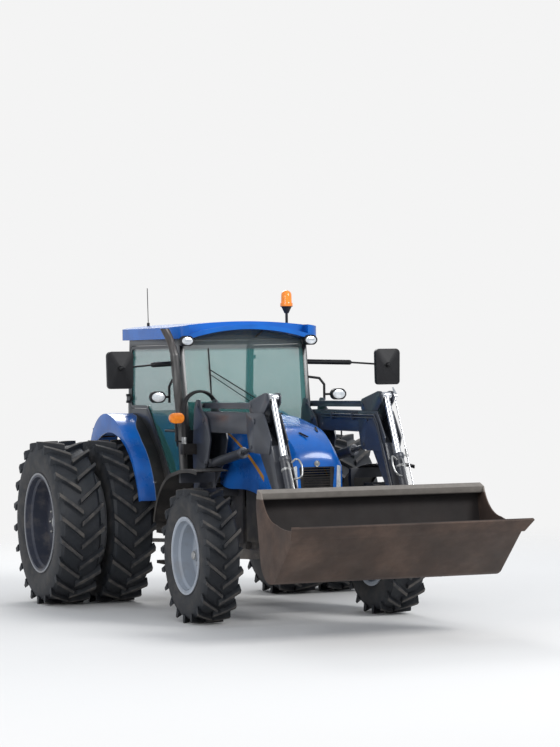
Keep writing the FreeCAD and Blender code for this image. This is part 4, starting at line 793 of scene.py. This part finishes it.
tubes = {"x": 0.450, "radius": 0.0075, "gap": 0.026, "clampAt": (-2.30, -2.75), "bandAt": (0.17, 0.42, 0.66)}
down = Vector((0.0, -0.465, -0.885))
armTubes = []
for step in (0, 1):
    z = 1.845 - step * tubes["gap"]
    knee = -3.235 + step * 0.012
    points = [place(tubes["x"], -2.06, z), place(tubes["x"], knee, z)]
    points += [place(tubes["x"], knee, z) + down * reach + Vector((0, -0.045, -0.03)) for reach in (0.05, 0.80)]
    points.append(points[-1] + Vector((0.05, -0.02, -0.04)))
    armTubes.append(startPipe("armTube", points, tubes["radius"], False))
for y in tubes["clampAt"]:
    clamp = startBox("clamp", place(tubes["x"] + 0.006, y, 1.832), (0.030, 0.028, 0.062))
    inset(clamp, lambda c, n: n.x < -0.9, ((0.006, 0.0), (0.002, 0.003)))
    rounded(clamp, 0.003)
    armTubes.append(clamp)
armSet = joined(armTubes, "armTubes")
paintWith(armSet, finishes["loader_grey"])
addTo(joined([armSet, copied(armSet, otherSide)], "armTubes"), "boom")

toolPin, rockerTop = place(0.544, -3.860, 0.800), place(0.544, -3.290, 2.019)
way = (rockerTop - toolPin).normalized()
facing = Vector((0.0, -way.z, way.y))
barrelParts = []
tubePoints = [toolPin + way * 0.13 + facing * 0.036, toolPin + way * 0.14 + facing * 0.060,
              toolPin + way * 0.70 + facing * 0.060, toolPin + way * 0.72 + facing * 0.038]
barrelParts.append(startPipe("barrelTube", tubePoints, 0.0085))
for reach in tubes["bandAt"]:
    band = startRound("band", toolPin + way * reach, way, 0.046, 0.022, 32)
    inset(band, lambda c, n: abs(n.dot(way)) < 0.3, ((0.003, 0.0), (0.001, 0.003)))
    barrelParts.append(band)
barrelSet = joined(barrelParts, "cylinderTubes")
paintWith(barrelSet, finishes["zinc"])
loop = startPipe("tubeLoop", [
    toolPin + Vector((-0.040, 0.270, 0.660)), toolPin + Vector((-0.085, 0.262, 0.690)),
    toolPin + Vector((-0.108, 0.225, 0.660)), toolPin + Vector((-0.108, 0.190, 0.590)),
    toolPin + Vector((-0.085, 0.170, 0.540)), toolPin + Vector((-0.030, 0.200, 0.520))], 0.009)
paintWith(loop, finishes["zinc"])
addTo(joined([barrelSet, loop, copied(barrelSet, otherSide), copied(loop, otherSide)], "cylinderTubes"),
      "tool_barrels")
print("hydraulic tubes made")


# Bucket level rod on the left tool cylinder, its sleeve and tag

levelRod = {"x": 0.652, "pinEnd": 0.6105, "top": (-3.205, 2.090), "bottom": (-3.640, 1.160)}
rodTop = place(levelRod["x"], *levelRod["top"])
rodLow = place(levelRod["x"], *levelRod["bottom"])
rodParts = [startPipe("levelRod", [rodTop, rodLow], 0.0055, False)]
rodEye = Vector((levelRod["x"], rockerTop.y, rockerTop.z))
rodParts.append(startPipe("rodCrank", [rodTop, rodEye], 0.0065, False))
stubLength = levelRod["x"] - levelRod["pinEnd"]
stub = startRound("rodStub", rodEye - Vector((stubLength / 2, 0, 0)), (1, 0, 0), 0.013, stubLength, 20)
inset(stub, lambda c, n: n.x > 0.9, ((0.003, 0.003), (0.004, -0.002)))
rodParts.append(stub)
rodSet = joined(rodParts, "levelRod")
paintWith(rodSet, finishes["chrome_rod"])
addTo(rodSet, "tool_rods")
sleeveMiddle = rodTop + (rodLow - rodTop) * 0.62
sleeve = startRound("levelSleeve", sleeveMiddle, way, 0.012, 0.070, 20)
inset(sleeve, lambda c, n: abs(n.dot(way)) > 0.9, ((0.003, 0.0), (0.0005, -0.004)))
strap = startBox("levelStrap", (sleeveMiddle + place(0.560, sleeveMiddle.y - rearY - 0.06, sleeveMiddle.z - 0.04)) / 2,
                 (0.085, 0.022, 0.016))
inset(strap, lambda c, n: n.z > 0.9, ((0.004, 0.0), (0.001, 0.002)))
rounded(strap, 0.002)
sleeveSet = joined([sleeve, strap], "levelSleeve")
paintWith(sleeveSet, finishes["zinc"])
addTo(sleeveSet, "tool_barrels")
print("level rod made")


# Lock plates and valve block inside each tower

lock = {"x": 0.438, "y": -1.790, "z": 1.620}
block = startBox("valveBlock", place(lock["x"], lock["y"], lock["z"]), (0.030, 0.058, 0.075))
inset(block, lambda c, n: n.x < -0.9 or n.y < -0.9, ((0.010, 0.0), (0.003, 0.006), (0.004, -0.004)))
rounded(block, 0.003)
paintWith(block, finishes["zinc"])
plates = []
for shift, drop in ((-0.050, 0.005), (0.050, -0.035)):
    plate = startBox("lockPlate", place(lock["x"] - 0.004, lock["y"] + shift, lock["z"] + drop), (0.030, 0.009, 0.150))
    inset(plate, lambda c, n: abs(n.y) > 0.9, ((0.006, 0.0), (0.001, -0.001)))
    rounded(plate, 0.0015)
    paintWith(plate, finishes["creamPaint"])
    plates.append(plate)
lockSet = joined([block] + plates, "lockPlates")
addTo(joined([lockSet, copied(lockSet, otherSide)], "lockPlates"), "chassis")
print("lock plates made")


# Crimped ends on the hoses of the right tower

crimp = {"rows": (-1.564, -1.590, -1.616), "ends": ((-0.740, 1.612), (-0.420, 1.692)), "radius": 0.0160}
crimps = []
for x, z in crimp["ends"]:
    for y in crimp["rows"]:
        item = startRound("crimp", place(x, y, z), (0, 0, 1), crimp["radius"], 0.052, 24)
        inset(item, lambda c, n: n.z > 0.9, ((0.001, 0.0), (0.0005, 0.004), (0.002, 0.0)))
        rounded(item, 0.0015)
        nutPart = startRound("crimpNut", place(x, y, z - 0.026), (0, 0, 1), crimp["radius"] * 1.12, 0.016, 6)
        inset(nutPart, lambda c, n: n.z > 0.9, ((0.002, 0.001),))
        crimps += [item, nutPart]
crimpSet = joined(crimps, "hoseCrimps")
paintWith(crimpSet, finishes["zinc"])
addTo(crimpSet, "chassis")
print("hose crimps made")


# Rear lamps on the fenders, a fuel cap and a blank plate

tail = {"middle": (0.790, 0.585, 1.640), "sizes": (0.220, 0.060, 0.095)}
tailLamp = startBox("tailLamp", place(*tail["middle"]), tail["sizes"])
paintWith(tailLamp, finishes["black_plastic"], finishes["redLens"], finishes["amber"])
bpy.ops.object.mode_set(mode="EDIT")
bpy.ops.mesh.select_all(action="SELECT")
bpy.ops.mesh.bisect(plane_co=place(0.845, 0.0, 0.0), plane_no=(1.0, 0.0, 0.0))
bpy.ops.object.mode_set(mode="OBJECT")
rounded(tailLamp, 0.006, 3)
for lowX, highX, slotIndex in ((0.68, 0.845, 1), (0.845, 0.91, 2)):
    inset(tailLamp, lambda c, n: n.y > 0.95 and lowX < c.x < highX, ((0.006, 0.0), (0.002, 0.004)), slotIndex)
addTo(joined([tailLamp, copied(tailLamp, otherSide)], "tailLamps"), "chassis")

fuelCap = startRound("fuelCap", place(0.606, -0.850, 0.840), (1, 0, 0), 0.050, 0.026, 24)
inset(fuelCap, lambda c, n: abs(n.x) < 0.3, ((0.003, 0.0), (0.001, -0.0025)))
inset(fuelCap, lambda c, n: n.x > 0.9, ((0.010, 0.0), (0.003, 0.006), (0.006, 0.0)))
paintWith(fuelCap, finishes["black_plastic"])
addTo(fuelCap, "chassis")

rearPlate = startBox("blankPlate", place(-0.42, 0.2385, 1.62), (0.340, 0.007, 0.110))
inset(rearPlate, lambda c, n: n.y > 0.9, ((0.006, 0.0), (0.002, -0.0015)))
rounded(rearPlate, 0.0012)
paintWith(rearPlate, finishes["creamPaint"])
addTo(rearPlate, "chassis")
print("rear lamps, cap and plate made")


# Vents on the hood's crown

vent = {"spots": ((-0.045, -2.790, 24.0), (0.140, -2.650, -14.0)), "sizes": (0.018, 0.110, 0.010)}
hoodTop = {"slope": 0.36, "height": 1.672, "at": -2.800}
vents = []
for x, y, swing in vent["spots"]:
    z = hoodTop["height"] + (y - hoodTop["at"]) * hoodTop["slope"] - 6.0 * x * x * 0.1
    item = startBox("vent", (0, 0, 0), vent["sizes"])
    inset(item, lambda c, n: n.z > 0.9, ((0.003, 0.0), (0.001, -0.004)))
    rounded(item, 0.002)
    item.data.transform(Matrix.Translation(place(x, y, z)) @ Matrix.Rotation(math.radians(swing), 4, "Z")
                        @ Matrix.Rotation(math.atan(hoodTop["slope"]), 4, "X"))
    vents.append(item)
ventSet = joined(vents, "hoodVents")
paintWith(ventSet, finishes["black_plastic"])
addTo(ventSet, "hood")
print("hood vents made")


# Seat: two padded cushions, standing for the CAD cushions

seat = {
    "rows": (((0.0, -0.365, 1.4056), (0.452, 0.444, 0.090)), ((0.0, -0.070, 1.6606), (0.436, 0.092, 0.590))),
    "corner": 0.034, "voxel": 0.006, "pressure": 4.0, "frames": 20, "cap": 0.014,
}


def inflate(item):
    # the cushion swells under pressure, no point further than the cap
    rest = [vertex.co.copy() for vertex in item.data.vertices]
    cloth = item.modifiers.new("cloth", "CLOTH")
    cloth.settings.use_pressure = True
    cloth.settings.uniform_pressure_force = seat["pressure"]
    cloth.settings.effector_weights.gravity = 0.0
    for step in range(1, seat["frames"] + 1):
        bpy.context.scene.frame_set(step)
    bpy.ops.object.modifier_apply(modifier="cloth")
    bpy.context.scene.frame_set(1)
    for vertex, old in zip(item.data.vertices, rest):
        move = vertex.co - old
        if move.length > seat["cap"]:
            vertex.co = old + move * (seat["cap"] / move.length)


cushions = []
for middle, sizes in seat["rows"]:
    item = startBox("cushion", place(*middle), sizes)
    rounded(item, seat["corner"], 5)
    remesh = item.modifiers.new("grid", "REMESH")
    remesh.mode = "VOXEL"
    remesh.voxel_size = seat["voxel"]
    bpy.ops.object.modifier_apply(modifier="grid")
    inflate(item)
    paintWith(item, finishes["seat_cloth"])
    cushions.append(item)
seatPad = joined(cushions, "seatPads")
alone(seatPad)
bpy.ops.object.shade_smooth()
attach(seatPad, "chassis")
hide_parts("seat_cushions")
print("seat made")


# Camera, floor and lamps

view = {
    "place": (-9.2067, -24.2895 + rearY, 2.348),
    "ahead": (0.38396, 0.92333, -0.00518),
    "roll": -0.7192,
    "lens": 125.406,
}
camera = bpy.data.cameras.new("camera")
camera.lens = view["lens"]
camera.sensor_width = 36.0
cameraItem = bpy.data.objects.new("camera", camera)
bpy.context.scene.collection.objects.link(cameraItem)
ahead = Vector(view["ahead"]).normalized()
turn = ahead.to_track_quat("-Z", "Y").to_matrix().to_4x4()
cameraItem.matrix_world = (
    Matrix.Translation(Vector(view["place"])) @ turn @ Matrix.Rotation(math.radians(view["roll"]), 4, "Z"))
bpy.context.scene.camera = cameraItem
bpy.context.scene.view_settings.view_transform = "Standard"

# the floor thins out into the background, so that no horizon shows
floorPaint = Paint("floorPaint")
floorTone = floorPaint.blend(floorPaint.noise(0.6, 3.0) * 0.3, (0.80, 0.795, 0.785), (0.77, 0.765, 0.755))
away = (floorPaint.x * floorPaint.x + floorPaint.y * floorPaint.y).root()
floorMaterial = floorPaint.finish(colour=floorTone, rough=0.9, alpha=1.0 - away.fade(5.0, 13.0))
bpy.ops.object.select_all(action="DESELECT")
bpy.ops.mesh.primitive_plane_add(size=60.0, location=(0.0, 0.0, 0.0))
floor = bpy.context.active_object
floor.name = "floor"
floor.data.materials.append(floorMaterial)

world = bpy.data.worlds.new("studio")
bpy.context.scene.world = world
world.use_nodes = True
sky = world.node_tree
backdrop = {"light": (0.90, 0.94, 1.0), "power": 0.62, "seen": (0.905, 0.905, 0.905)}
lightShade = sky.nodes["Background"]
lightShade.inputs[0].default_value = (*backdrop["light"], 1.0)
lightShade.inputs[1].default_value = backdrop["power"]
seenShade = sky.nodes.new("ShaderNodeBackground")
seenShade.inputs[0].default_value = (*backdrop["seen"], 1.0)
paths = sky.nodes.new("ShaderNodeLightPath")
either = sky.nodes.new("ShaderNodeMath")
either.operation = "MAXIMUM"
sky.links.new(paths.outputs["Is Camera Ray"], either.inputs[0])
sky.links.new(paths.outputs["Is Transmission Ray"], either.inputs[1])
choice = sky.nodes.new("ShaderNodeMixShader")
sky.links.new(either.outputs[0], choice.inputs[0])
sky.links.new(lightShade.outputs[0], choice.inputs[1])
sky.links.new(seenShade.outputs[0], choice.inputs[2])
sky.links.new(choice.outputs[0], sky.nodes["World Output"].inputs[0])
lamps = (
    # name, place, aim, size, power
    ("key", (7.0, -12.0, 11.0), (0.0, -1.0, 1.2), 6.0, 1500.0),
    ("fill", (-12.0, -10.0, 7.0), (0.0, -1.0, 1.2), 7.0, 620.0),
    ("back", (2.0, 11.0, 9.0), (0.0, 0.0, 1.8), 6.0, 700.0),
)
for lampName, place, aim, size, power in lamps:
    lamp = bpy.data.lights.new(lampName, "AREA")
    lamp.shape = "DISK"
    lamp.size = size
    lamp.energy = power
    lampItem = bpy.data.objects.new(lampName, lamp)
    bpy.context.scene.collection.objects.link(lampItem)
    lampItem.location = place
    lampItem.rotation_euler = (Vector(aim) - Vector(place)).to_track_quat("-Z", "Y").to_euler()
print("camera, floor and lamps set")
